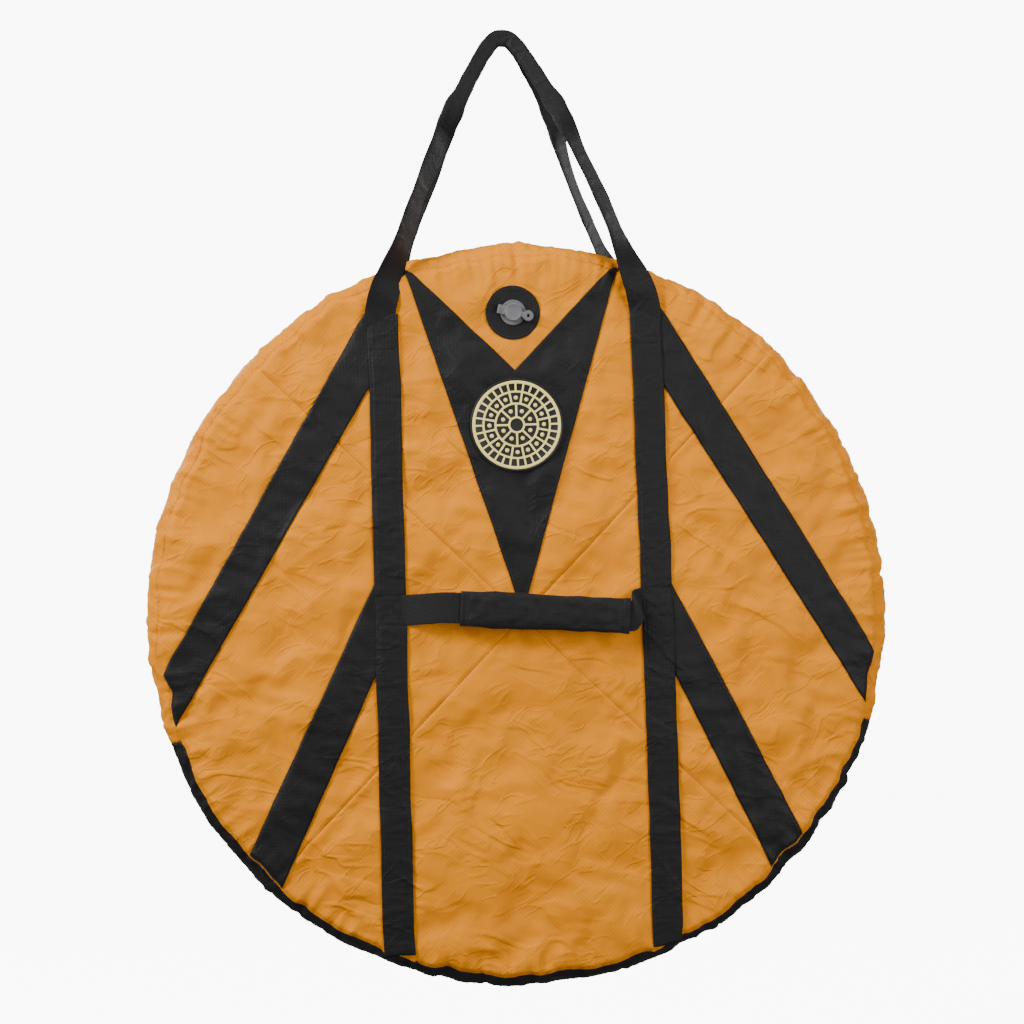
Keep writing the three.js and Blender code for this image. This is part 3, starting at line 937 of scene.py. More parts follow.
def gusset_grid(angle, side, y_end, columns=26):
    """Points of a gusset from a panel's seam out over the rim and across to y_end.

    The section starts at the seam and swells to the rim radius: 1 - exp(-run / 6.5 mm). Each
    tuck pulls a slanting pleat across it, and the cloth between tucks bulges."""
    share = np.linspace(0, 1, columns) ** 1.35
    depth = abs(y_end - side * HALF_DEPTH)
    run = share * depth
    swell = (1 - np.exp(-run / (6.5 * MM))) / (1 - np.exp(-depth / (6.5 * MM)))
    fade = 1 - smooth_step(share, 0.5, 1.0)
    seam_y = side * (HALF_DEPTH - SEAM_DIP)
    y = seam_y + (y_end - seam_y) * share
    wander = seam_wander(angle, side)[:, None] * (fade * np.exp(-run / (25 * MM)))[None]
    radius = SEAM_RADIUS + (RIM_RADIUS - SEAM_RADIUS) * swell[None] + wander
    arc = angle[:, None] * RIM_RADIUS
    window = (smooth_step(run, 0, 4 * MM) * fade * np.exp(-run / (60 * MM)))[None]
    for where, strength, slant in zip(*tucks(side)):
        gap = (angle[:, None] - where + np.pi) % (2 * np.pi) - np.pi
        line = gap * RIM_RADIUS - slant * run[None]
        radius = radius - 3.2 * MM * strength * window * bump_line(line, 3.0 * MM)
        radius = radius + 1.2 * MM * strength * window * bump_line(line - 8 * MM, 6 * MM)
    spots = np.stack(np.broadcast_arrays(arc, run[None]), -1)
    radius = radius + window * (1.5 * MM * waves(spots, 70 * MM, seed=61 + side)
                                + 0.7 * MM * waves(spots, 22 * MM, seed=63 + side))
    top = (angle[:, None] + np.pi) % (2 * np.pi) - np.pi
    radius = radius + 6 * MM * bump_line(top * RIM_RADIUS - 6 * MM, 42 * MM) * (
        fade * smooth_step(run, 6 * MM, 22 * MM))
    swing = 1.2 * MM * window * waves(spots, 30 * MM, seed=65 + side)
    points = round_rim(angle, radius, y + side * swing * (1 - share)[None])
    rim = field(side).at(SEAM_RADIUS * np.sin(angle), SEAM_RADIUS * np.cos(angle))
    follow = (fade * np.exp(-run / (9 * MM)))[None, :, None]
    points = points + (rim - points[:, 0])[:, None] * follow
    hem = rim * (0.992, 1, 0.992) - (0, side * 3 * MM, 0)
    points = np.concatenate([hem[:, None], points], 1)
    return points, np.concatenate([spots[:, :1] - (0, 4 * MM), spots], 1)


class GONGBAG_OT_gusset(bpy.types.Operator):
    """Sew the orange upper gusset and the black base gusset round the rim"""
    bl_idname = "gongbag.gusset"
    bl_label = "Gusset"

    def execute(self, context):
        upper = rim_angles(FOLD_Z, True)
        lower = rim_angles(FOLD_Z, False)
        tape = ZIP_TAPE_EDGE - 1 * MM
        for name, node, side, y_end in (
                ("front_gusset_cloth", "front_gusset", FRONT, ZIP_Y - tape),
                ("back_gusset_cloth", "back_gusset", BACK, ZIP_Y + tape)):
            points, flat = gusset_grid(upper, side, y_end, 26 if side == FRONT else 12)
            obj = grid_piece(name, points, flat, "orange",
                             "back_shell", [node], fold=side == FRONT, thick=0.5 * MM,
                             flip=side == FRONT)
        front, flat_front = gusset_grid(lower, FRONT, 0)
        back, flat_back = gusset_grid(lower, BACK, 0)
        points = np.concatenate([front, back[:, -2::-1]], 1)
        back_flat = flat_back[:, -2::-1] * (1, -1) + (0, 2 * HALF_DEPTH)
        flat = np.concatenate([flat_front, back_flat], 1)
        obj = grid_piece("base_gusset_cloth", points, flat, "black",
                         "back_shell", ["base_gusset"], thick=0.6 * MM, flip=True)
        self.binding()
        return {"FINISHED"}

    def binding(self):
        """Binding tape folded over the seam allowance inside each rim seam."""
        angle = np.linspace(0, 2 * np.pi, 500, endpoint=False)
        for side, name, nodes in ((FRONT, "front_seam_binding",
                                   ("upper_seam_binding", "lower_seam_binding")),
                                  (BACK, "back_seam_binding_tape", ("back_seam_binding",))):
            section = np.array([(0, 0), (9, 0.6), (10, 1.4), (9, 2.2), (0, 2.8), (-1, 1.4)]) * MM
            radius = (SEAM_RADIUS - BINDING_INSET + section[None, :, 0]
                      + seam_wander(angle, side)[:, None])
            points = round_rim(angle, radius, side * (HALF_DEPTH - BINDING_INSET - section[:, 1]))
            flat = np.stack([angle[:, None] * SEAM_RADIUS * np.ones(len(section)),
                             np.ones(len(angle))[:, None] * section[:, 0]], -1)
            obj = grid_piece(name, points, flat, "tape",
                             "back_shell", nodes, fold=side == FRONT, wrap_rows=True,
                             wrap_columns=True)
            outward(obj)


# -------------------- flat cloth trim on the front
TRIM_LIFT = 1.5 * MM  # from the panel's surface to the middle of the trim
TRIM_STITCH_LIFT = 1.6 * MM


def trim_cloth(name, x, z, key, nodes, fold=False):
    """A flat cloth piece sewn on the front, from grids of x and z over the panel."""
    points = field(FRONT).at(x, z, TRIM_LIFT)
    flat = np.stack([x, z], -1)
    obj = grid_piece(name, points, flat, key,
                     "back_shell" if fold else "front_flap", nodes, fold=fold, thick=0.6 * MM)
    return outward(obj)


def band_grid(start, end, near_width, far_width, sign):
    """A strip between two points, its ends cut along the strap and along the rim."""
    start, end = np.array(start), np.array(end)
    along = unit(end - start)
    across = np.array([-along[1], along[0]])
    s = np.linspace(0, 1, int(np.linalg.norm(end - start) / (4 * MM)))
    t = np.linspace(-0.5, 0.5, 15)
    width = near_width + (far_width - near_width) * s
    # the near end slides along the band to follow the strap's upright edge
    slide_near = t * near_width * across[0] / along[0]
    rim_radius = SEAM_RADIUS - 2.5 * MM
    edge = end + t[:, None] * far_width * across
    radial = np.linalg.norm(edge, axis=1)
    slide_far = (rim_radius - radial) / ((edge / radial[:, None]) @ along)
    shift = -slide_near * (1 - s[:, None]) + slide_far * s[:, None]
    points = (start + s[:, None, None] * (end - start) + (t * width[:, None])[..., None] * across
              + shift[..., None] * along)
    return sign * points[..., 0], points[..., 1]


class GONGBAG_OT_trim(bpy.types.Operator):
    """Sew the V and the four slanted bands on the front"""
    bl_idname = "gongbag.trim"
    bl_label = "Front trim"

    def execute(self, context):
        s = np.linspace(-1, 1, 91)
        t = np.linspace(0, 1, 70)
        tip, notch, outer, inner = map(np.array, (V_TIP, V_NOTCH, V_OUTER, V_INNER))
        share = np.abs(s)[:, None, None]
        row = t[None, :, None]
        points = ((1 - share) * ((1 - row) * tip + row * notch)
                  + share * ((1 - row) * outer + row * inner))
        x, z = points[..., 0] * np.sign(s)[:, None], points[..., 1]
        obj = trim_cloth("v_panel_cloth", x, z, "black", ["v_applique"])
        for word, sign in HANDS:
            for level, band in (("upper", UPPER_BAND), ("lower", LOWER_BAND)):
                x, z = band_grid(*band, sign)
                nodes = [f"{word}_{level}_band"]
                if level == "lower":
                    nodes.append(f"{word}_lower_band_tail")
                obj = trim_cloth(f"{word}_{level}_band_cloth", x, z, "band", nodes,
                                 fold=True)
        self.edge_stitches()
        return {"FINISHED"}

    def edge_stitches(self):
        """Edge stitching 3 mm in from the long edges of the V and the bands."""
        rows = []
        for sign in (1, -1):
            for start, end, shift in ((V_TIP, V_OUTER, -3 * MM), (V_NOTCH, V_INNER, 3 * MM)):
                line = resampled([start, end], 4 * MM)[5:-3]
                along = unit(line[-1] - line[0])
                line = line + np.array([-along[1], along[0]]) * -shift
                path = field(FRONT).at(sign * line[:, 0], line[:, 1], TRIM_STITCH_LIFT)
                rows.append(stitches(path, (0, -1, 0)))
        stitch_piece("v_panel_stitching", rows, "thread",
                     "front_flap")
        rows = []
        for sign in (1, -1):
            for band in (UPPER_BAND, LOWER_BAND):
                x, z = band_grid(*band, sign)
                for column in (1, -2):
                    path = field(FRONT).at(x[:, column], z[:, column], TRIM_STITCH_LIFT)
                    rows.append(stitches(path, (0, -1, 0)))
        stitch_piece("band_stitching", rows, "thread",
                     "back_shell", fold=True)


# -------------------- straps
STRAP_ACROSS = np.array([0, 0.25, 0.45, 0.6, 0.7, 0.76, 0.8, 0.84, 0.9, 0.96, 0.99, 1.0])
STITCH_INSET = 0.8  # of the half width
BOX_TOP = 360 * MM  # the upper sewn box reaches down to here
GRIP_BOX = (32 * MM, -6 * MM)  # top and bottom of the box that holds the centre grip


def strap_section():
    """Half-thickness over the width: a padded sleeve with a dent along each edge stitch."""
    across = np.concatenate([-STRAP_ACROSS[:0:-1], STRAP_ACROSS])
    edge = np.abs(across)
    up = np.sqrt(np.clip(1 - edge ** 10, 0, 1)) * 2.4 * MM
    up = up - 0.75 * MM * bump_line(edge - STITCH_INSET, 0.035)
    return across, np.maximum(up, 0)


def strap_middle(z, sign=1):
    """The right strap drifts outwards towards the bottom and the left one hardly does."""
    return STRAP_X + np.where(np.asarray(sign) > 0, 3 * MM - 0.008 * z, -3 * MM - 0.003 * z)


def strap_bottom():
    """Height of the strap's lower end, where it meets the rim seam."""
    return -math.sqrt(SEAM_RADIUS ** 2 - STRAP_X ** 2) + 3 * MM


def box_marks(z, edge):
    """Dents of the box-and-cross stitching at height z and share of half width edge."""
    dent = np.zeros(np.broadcast_shapes(z.shape, edge.shape))
    for top, bottom in ((STRAP_TOP - 3 * MM, BOX_TOP), GRIP_BOX):
        inside = (z <= top + 1 * MM) & (z >= bottom - 1 * MM)
        middle, height = (top + bottom) / 2, (top - bottom) / 2
        for slope in (1, -1):
            line = np.abs((z - middle) / height - slope * edge / STITCH_INSET)
            dent = dent + inside * bump_line(line * height * 0.7, 1.3 * MM)
        for level in (top, bottom):
            dent = dent + bump_line(z - level, 1.3 * MM) * (np.abs(edge) < STITCH_INSET)
    return 1.1 * MM * np.clip(dent, 0, 1)


def strap_grid(side, sign, seed):
    """Front face and back face of one long strap as a closed ring of points per row."""
    z = np.arange(strap_bottom(), STRAP_TOP, 2.2 * MM)
    across, up = strap_section()
    zz, edge = z[:, None], across[None]
    half = STRAP_WIDTH / 2
    wobble = 0.5 * MM * waves(z[:, None], 0.12, seed)[:, None]
    x = sign * strap_middle(zz, sign) + wobble + edge * half
    spots = np.stack([np.broadcast_to(zz, x.shape), 0.35 * x + 0 * zz], -1)
    ruck = (0.5 * MM * creases(spots, 40 * MM, seed + 1)
            + 0.12 * MM * waves(spots, 14 * MM, seed + 2))
    ruck = ruck * np.clip(1.15 - np.abs(edge) ** 4, 0, 1)
    top = up + ruck - box_marks(zz, edge)
    seat = field(side).at(x, zz, 0, soft=True)
    front = seat + np.stack([0 * x, side * (top + 2.0 * MM), 0 * x], -1)
    back = seat + np.stack([0 * x, side * (0.6 * MM + 0 * x), 0 * x], -1)
    points = np.concatenate([front, back[:, -2:0:-1]], 1)
    flat_x = np.concatenate([x, x[:, -2:0:-1]], 1)
    flat = np.stack([flat_x, np.broadcast_to(zz, flat_x.shape)], -1)
    return points, flat


class GONGBAG_OT_straps(bpy.types.Operator):
    """Sew the long webbing straps, in their ripstop sleeves, down the front and the back"""
    bl_idname = "gongbag.straps"
    bl_label = "Straps"

    def execute(self, context):
        for side, prefix in ((FRONT, "front"), (BACK, "back")):
            for word, sign in HANDS:
                points, flat = strap_grid(side, sign, 101 + 7 * sign + 3 * side)
                nodes = ([f"{word}_strap_upper", f"{word}_strap_lower"] if side == FRONT
                         else [f"back_{word}_strap"])
                solid_piece(f"{prefix}_{word}_strap_sleeve", points,
                            tube_faces(*points.shape[:2]), flat, "black",
                            "back_shell", nodes, fold=side == FRONT)
                self.stitch(side, prefix, word, sign)
        return {"FINISHED"}

    def stitch(self, side, prefix, word, sign):
        """Edge rows down both sides, and the sewn boxes with their crosses."""
        reach = STITCH_INSET * STRAP_WIDTH / 2
        height = 3.7 * MM
        rows = []

        def row(start, end):
            line = resampled([start, end], 3 * MM)
            middle = sign * strap_middle(line[:, 1], sign)
            seat = field(side).at(middle + line[:, 0], line[:, 1], height, soft=True)
            rows.append(stitches(seat, (0, side, 0)))

        for edge in (-reach, reach):
            row((edge, strap_bottom() + 4 * MM), (edge, STRAP_TOP - 4 * MM))
        boxes = [(STRAP_TOP - 3 * MM, BOX_TOP)]
        if side == FRONT:
            boxes.append(GRIP_BOX)
        for top, bottom in boxes:
            for level in (top, bottom):
                row((-reach, level), (reach, level))
            row((-reach, bottom), (reach, top))
            row((-reach, top), (reach, bottom))
        stitch_piece(f"{prefix}_{word}_strap_stitching", rows, "thread",
                     "back_shell", fold=side == FRONT)


# -------------------- carrying handles
# Lengths from the top of the loop: where its lengthwise fold opens, and where it lies flat
FOLD_OPENS, FOLD_FLAT = 122 * MM, 185 * MM
LEG_TWIST = 1.05  # radians that each leg is turned about its own length


def handle_knots(side):
    """Centre line of a carrying handle: up from the left strap's fold, over the rim, to the hook
    and down to the right strap. Each knot is x, distance from the middle plane, height."""
    y = HANDLE_Y
    lean = 16 * MM if side == BACK else 0
    half = [
        (STRAP_X, y - 6 * MM, STRAP_TOP - 24 * MM),
        (STRAP_X - 1 * MM, y - 4 * MM, STRAP_TOP),
        (170 * MM, y, STRAP_TOP + 30 * MM),
        (153 * MM, y - 3 * MM, 484 * MM),
        (122 * MM, 53 * MM, 567 * MM),
        (99 * MM, 42 * MM, 621 * MM),
        (76 * MM, 31 * MM, 676 * MM),
        (60 * MM, 24 * MM, 706 * MM),
        (31 * MM, 12 * MM, 757 * MM),
        (13 * MM, 6.5 * MM, 782 * MM),
        (0, 5.5 * MM, 786 * MM),
    ]

    def leaning(x, z, share):
        return x - share * lean * math.sin(math.pi * np.clip((z - STRAP_TOP) / 0.3, 0, 1))

    left = [(-leaning(x, z, 0.3), side * depth, z) for x, depth, z in half]
    right = [(leaning(x, z, 1), side * depth, z) for x, depth, z in half[-2::-1]]
    return np.array(left + right)


def handle_shape(side, seed):
    """Path, side vectors, face vectors and changing section of a carrying handle.

    The webbing is flat and 42 mm wide at its ends; round the top 310 mm it is folded
    lengthwise to half its width and sewn, with a flare where the fold opens."""
    path = rounded_path(handle_knots(side), 3 * MM)
    length = along_path(path)
    away = np.abs(length - length[-1] / 2)
    folded = 1 - smooth_step(away, FOLD_OPENS, FOLD_FLAT)
    tangent = unit(np.gradient(path, axis=0))
    face = np.broadcast_to(np.array([0, side, 0.0]), path.shape)
    turn = LEG_TWIST * smooth_step(away, 95 * MM, 190 * MM)
    turn = turn * (1 - smooth_step(away, 310 * MM, 432 * MM))
    across = unit(np.cross(face, tangent))
    out = unit(np.cross(tangent, across))
    wave = 0.05 * waves(length[:, None], 0.16, seed)
    angle = turn * np.where(length < length[-1] / 2, 1, -1) + wave
    cos, sin = np.cos(angle)[:, None], np.sin(angle)[:, None]
    across, out = across * cos + out * sin, out * cos - across * sin
    half_width = STRAP_WIDTH / 2 * (1 - 0.5 * folded)
    half_width = half_width + 3.5 * MM * bump_line(away - FOLD_OPENS, 16 * MM)
    half_width = half_width + 0.3 * MM * waves(length[:, None], 0.05, seed + 1)
    half_thick = 1.5 * MM + 2.2 * MM * folded + 1.2 * MM * bump_line(away - 146 * MM, 12 * MM)
    half_thick = half_thick + 0.25 * MM * waves(length[:, None], 0.05, seed + 2)
    t = np.linspace(0, 2 * np.pi, 34, endpoint=False)
    power = 0.34
    unit_x, unit_y = squared(np.cos(t), power), squared(np.sin(t), power * 1.6)
    lip = -0.32 * folded[:, None] * bump_line(unit_x - 0.35, 0.12)[None] * (unit_y > 0)[None]
    dent = -0.22 * bump_line(np.abs(unit_x) - STITCH_INSET, 0.06)[None]
    section = np.stack([half_width[:, None] * unit_x[None],
                        half_thick[:, None] * (unit_y[None] * (1 + lip + dent))], -1)
    return path, across, out, section, length


class GONGBAG_OT_handles(bpy.types.Operator):
    """Form the two carrying handles from the straps' webbing"""
    bl_idname = "gongbag.handles"
    bl_label = "Carrying handles"

    def execute(self, context):
        for side, prefix, parent in ((FRONT, "front", "front_flap"), (BACK, "back", "back_shell")):
            path, across, out, section, length = handle_shape(side, 131 + side)
            points, faces = swept(path, across, out, section)
            flat = np.stack(np.broadcast_arrays(section[..., 0], length[:, None]), -1)
            obj = new_object(f"{prefix}_handle_sleeve", place(points), faces, flat)
            outward(obj)
            rows = []
            inner = slice(6, -6)
            for share in (-STITCH_INSET, STITCH_INSET):
                width = np.abs(section[..., 0]).max(1)
                up = section[..., 1].max(1) - 0.35 * MM
                for face in (1, -1):
                    line = path + across * (share * width)[:, None] + out * (face * up)[:, None]
                    rows.append(stitches(line[inner], (out * face)[inner]))
            points, faces = joined(rows)
            sewn = new_object(f"{prefix}_handle_stitching", place(points), faces, points[:, ::2])
            for piece, key in ((obj, "black"), (sewn, "thread")):
                piece.data.materials.append(materials(key))
                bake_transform(piece)
            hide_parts(f"{prefix}_handle_webbing")
        return {"FINISHED"}


# -------------------- centre grip
GRIP_TILT = math.radians(-4.4)
SLEEVE_HALF = 113 * MM
SLEEVE_HEIGHT = 47 * MM
SLEEVE_DEPTH = 14.5 * MM
WEBBING_THICK = 2.5 * MM


class GONGBAG_OT_grip(bpy.types.Operator):
    """Sew the short centre grip: ribbed webbing in a padded sleeve"""
    bl_idname = "gongbag.grip"
    bl_label = "Centre grip"

    def execute(self, context):
        self.sleeve()
        self.webbing()
        self.pad()
        return {"FINISHED"}

    def along(self, s, up=0.0, out=0.0):
        """A point of the grip: s along it, up across it, out towards the front."""
        cos, sin = math.cos(GRIP_TILT), math.sin(GRIP_TILT)
        x = GRIP[0] + s * cos - up * sin
        z = GRIP[2] + s * sin + up * cos
        return np.stack(np.broadcast_arrays(x, GRIP[1] - out, z), -1)

    def sleeve(self):
        """A flattened tube: rounded section, crowned between its ends and pinched at the two
        sewn channels."""
        s = np.linspace(-SLEEVE_HALF, SLEEVE_HALF, 150)
        t = np.linspace(0, 2 * np.pi, 72, endpoint=False)
        edge = SLEEVE_HALF - np.abs(s)
        channel = bump_line(edge - 11 * MM, 1.7 * MM)
        hem = smooth_step(edge, 0, 3 * MM)
        thick = SLEEVE_DEPTH / 2 * (0.62 + 0.38 * smooth_step(edge, 10 * MM, 45 * MM))
        thick = thick * (1 - 0.3 * channel)
        thick = thick * (0.85 + 0.15 * hem)
        tall = SLEEVE_HEIGHT / 2 * (1 - 0.012 * channel)
        tall = tall + 0.5 * MM * waves(s[:, None], 0.06, seed=151)
        up = tall[:, None] * squared(np.cos(t), 0.55)[None]
        out = thick[:, None] * squared(np.sin(t), 0.62)[None]
        spots = np.stack(np.broadcast_arrays(s[:, None], up), -1)
        out = out + 0.35 * MM * waves(spots, 28 * MM, seed=153) * np.abs(np.sin(t))[None]
        points = self.along(s[:, None], up, out)
        n, m = points.shape[:2]
        flat = np.stack(np.broadcast_arrays(s[:, None], up), -1)
        middle = points.mean(1, keepdims=True)
        inner = middle + (points - middle) * np.array([1, 0.72, 0.93])
        both = np.concatenate([points.reshape(-1, 3), inner.reshape(-1, 3)])
        faces = grid_faces(n, m, wrap_columns=True).tolist()
        faces += (grid_faces(n, m, wrap_columns=True, flip=True) + n * m).tolist()
        for row in (0, n - 1):
            for i in range(m):
                a, b = row * m + i, row * m + (i + 1) % m
                faces.append([a, b, b + n * m, a + n * m])
        obj = solid_piece("grip_sleeve_padded", both, faces,
                          np.concatenate([flat.reshape(-1, 2)] * 2), "band",
                          "grip", ["grip_sleeve"])
        rows = []
        for end in (-1, 1):
            for inset in (10 * MM, 12.2 * MM):
                up_run = np.linspace(-0.86, 0.86, 30) * SLEEVE_HEIGHT / 2
                line = self.along(np.full(30, end * (SLEEVE_HALF - inset)), up_run,
                                  SLEEVE_DEPTH / 2 * 0.5)
                rows.append(stitches(line, (0, -1, 0), 2.6 * MM))
        seam = np.linspace(-SLEEVE_HALF + 2 * MM, SLEEVE_HALF - 2 * MM, 80)
        rows.append(stitches(self.along(seam, -SLEEVE_HEIGHT / 2 + 1.6 * MM, 3.6 * MM),
                             (0, -0.7, -0.7), 3 * MM))
        stitch_piece("grip_sleeve_stitching", rows, "thread", "grip")

    def webbing(self):
        """Ribbed webbing from each strap to the sleeve; the right end turns over and climbs."""
        front = GRIP[1]
        half = 20.5 * MM
        anchor_y = -bulge(STRAP_X) - 1.5 * MM
        edge_x = STRAP_X - STRAP_WIDTH / 2
        left_in = self.along(-SLEEVE_HALF + 30 * MM)
        left = [(-edge_x - 8 * MM, anchor_y, 13 * MM),
                (-edge_x + 4 * MM, anchor_y - 3 * MM, 13.5 * MM),
                (-edge_x + 30 * MM, front + 7 * MM, 15 * MM),
                (-edge_x + 58 * MM, front + 1 * MM, 16 * MM), tuple(left_in)]
        path = rounded_path(left, 3 * MM)
        tangent = unit(np.gradient(path, axis=0))
        up = np.broadcast_to(np.array([0, 0, 1.0]), path.shape)
        self.ribbon("grip_webbing_left", path, tangent, up, half, ["grip_webbing"])
        right_in = self.along(SLEEVE_HALF - 30 * MM)
        end = self.along(SLEEVE_HALF)
        right = [tuple(right_in), tuple(end + (2 * MM, 0.5 * MM, 0)),
                 (end[0] + 9 * MM, front + 6 * MM, end[2] + 5 * MM),
                 (edge_x - 1 * MM, anchor_y - 5 * MM, 13 * MM),
                 (edge_x + 10 * MM, anchor_y, 17 * MM)]
        path = rounded_path(right, 2 * MM)
        tangent = unit(np.gradient(path, axis=0))
        share = smooth_step(path[:, 0], end[0], edge_x)[:, None]
        up = unit((1 - share) * (0.05, 0, 1.0) + share * (-0.45, -0.35, 0.85))
        self.ribbon("grip_webbing_right", path, tangent, up, half, [])

    def ribbon(self, name, path, tangent, up, half, nodes):
        """Flat webbing with rounded edges carried along a path, its placement baked into its mesh."""
        out = unit(np.cross(up, tangent))
        out = out * -np.sign(out[:, 1:2])
        t = np.linspace(0, 2 * np.pi, 30, endpoint=False)
        section = np.stack([half * squared(np.cos(t), 0.3),
                            WEBBING_THICK / 2 * squared(np.sin(t), 0.5)], -1)
        points, faces = swept(path, up, out, section)
        length = along_path(path)
        flat = np.stack(np.broadcast_arrays(section[None, :, 0], length[:, None]), -1)
        obj = new_object(name, place(points), faces, flat)
        outward(obj)
        obj.data.materials.append(materials("webbing"))
        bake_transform(obj)
        if nodes:
            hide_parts(*nodes)

    def pad(self):
        """The foam strip inside the sleeve, a rounded bar that stops short of its ends."""
        points, faces = round_box((2 * SLEEVE_HALF - 28 * MM, 6 * MM, 38 * MM), 2.4 * MM)
        turned = self.along(points[:, 0], points[:, 2], points[:, 1])
        obj = solid_piece("grip_foam", turned, faces, points[:, ::2], "foam", "grip",
                          ["grip_pad"])


# -------------------- emblem
ROUND_STEPS = 128


class GONGBAG_OT_emblem(bpy.types.Operator):
    """Mould the round rubber emblem with its raised rings and bars"""
    bl_idname = "gongbag.emblem"
    bl_label = "Emblem"

    def execute(self, context):
        face = self.face()
        self.base(face)
        self.relief(face)
        return {"FINISHED"}

    def face(self):
        """Turns shapes made with height along +Z so that they lie on the front, facing -Y."""
        slope = 2 * CROWN * EMBLEM[2] / SEAM_RADIUS ** 2
        y = -bulge(EMBLEM[2]) - 1.9 * MM
        turn = Matrix.Rotation(math.pi / 2 - slope, 4, "X")
        return Matrix.Translation(Vector((0, y, EMBLEM[2]))) @ turn

    def put(self, name, points, faces, face, key, slot, nodes):
        """A piece of the emblem, laid on the front by the face's matrix."""
        matrix = np.array(face)
        placed = points @ matrix[:3, :3].T + matrix[:3, 3]
        solid_piece(name, placed, faces, points[:, :2], key, "front_flap", nodes)

    def base(self, face):
        """A disc with a rounded raised lip and a sunk field, sewn down in a groove."""
        r = EMBLEM_RADIUS
        profile = np.array([
            (0.0, 0.0), (r - 1 * MM, 0), (r - 0.2 * MM, 0.4 * MM), (r, 1.2 * MM),
            (r - 0.2 * MM, 2.3 * MM), (r - 0.9 * MM, 2.8 * MM), (r - 1.8 * MM, 2.8 * MM),
            (r - 2.2 * MM, 2.3 * MM), (r - 2.6 * MM, 1.9 * MM), (r * 0.6, 1.9 * MM),
            (0.0, 1.9 * MM)])
        profile[0, 0] = profile[-1, 0] = 0.01 * MM
        points, faces = lathe(profile, ROUND_STEPS)
        self.put("emblem_disc", points, faces, face, "rubber", "black_rubber", ["emblem_base"])

    def ring(self, middle, width):
        """A raised ring with rounded shoulders."""
        w, low, high = width / 2, 1.5 * MM, 3.1 * MM
        profile = [(middle - w, low), (middle - w * 0.92, high - 0.5 * MM),
                   (middle - w * 0.55, high - 0.05 * MM), (middle, high),
                   (middle + w * 0.55, high - 0.05 * MM), (middle + w * 0.92, high - 0.5 * MM),
                   (middle + w, low)]
        points, _ = lathe(profile, ROUND_STEPS)
        faces = grid_faces(len(profile), ROUND_STEPS, wrap_rows=True, wrap_columns=True)
        return points, faces.tolist()

    def bar(self, inner, outer, angle, width):
        """A short radial bar with rounded top edges."""
        points, faces = round_box((outer - inner, width, 2.0 * MM), 0.55 * MM, 3)
        points = points + ((inner + outer) / 2, 0, 2.0 * MM)
        cos, sin = math.cos(angle), math.sin(angle)
        turned = np.stack([points[:, 0] * cos - points[:, 1] * sin,
                           points[:, 0] * sin + points[:, 1] * cos, points[:, 2]], -1)
        return turned, faces

    def relief(self, face):
        """Rings joined by bars: 32 outside, 16 in the middle band and 8 inside, with studs."""
        scale = EMBLEM_RADIUS / (62.4 * MM)
        rings = [(57.4, 4.2), (44.5, 2.8), (28.5, 2.8), (10, 2.8)]
        parts = [self.ring(middle * MM * scale, width * MM * scale) for middle, width in rings]
        rounds = [(44.5, 57.4, 32, 0, 2.5), (28.5, 44.5, 16, 0.5, 2.7), (10, 28.5, 8, 0, 2.7)]
        for inner, outer, count, shift, width in rounds:
            for i in range(count):
                angle = (i + shift) * 2 * math.pi / count
                parts.append(self.bar(inner * MM * scale, outer * MM * scale, angle, width * MM))
        studs = [(36.5, 16, 0), (19.5, 8, 0.5)]
        dome = [(0.02, 3.0), (1.4, 2.9), (2.5, 2.5), (2.9, 1.6)]
        for radius, count, shift in studs:
            for i in range(count):
                points, faces = lathe(np.array(dome) * MM, 16)
                angle = (i + shift) * 2 * math.pi / count
                move = radius * MM * scale * np.array([math.cos(angle), math.sin(angle), 0])
                parts.append((points + move, faces))
        points, faces = joined(parts)
        self.put("emblem_rings", points, faces, face, "cream", "cream_rubber",
                 ["emblem_relief"])


# -------------------- valve
VALVE_TILT = math.radians(-14.5)


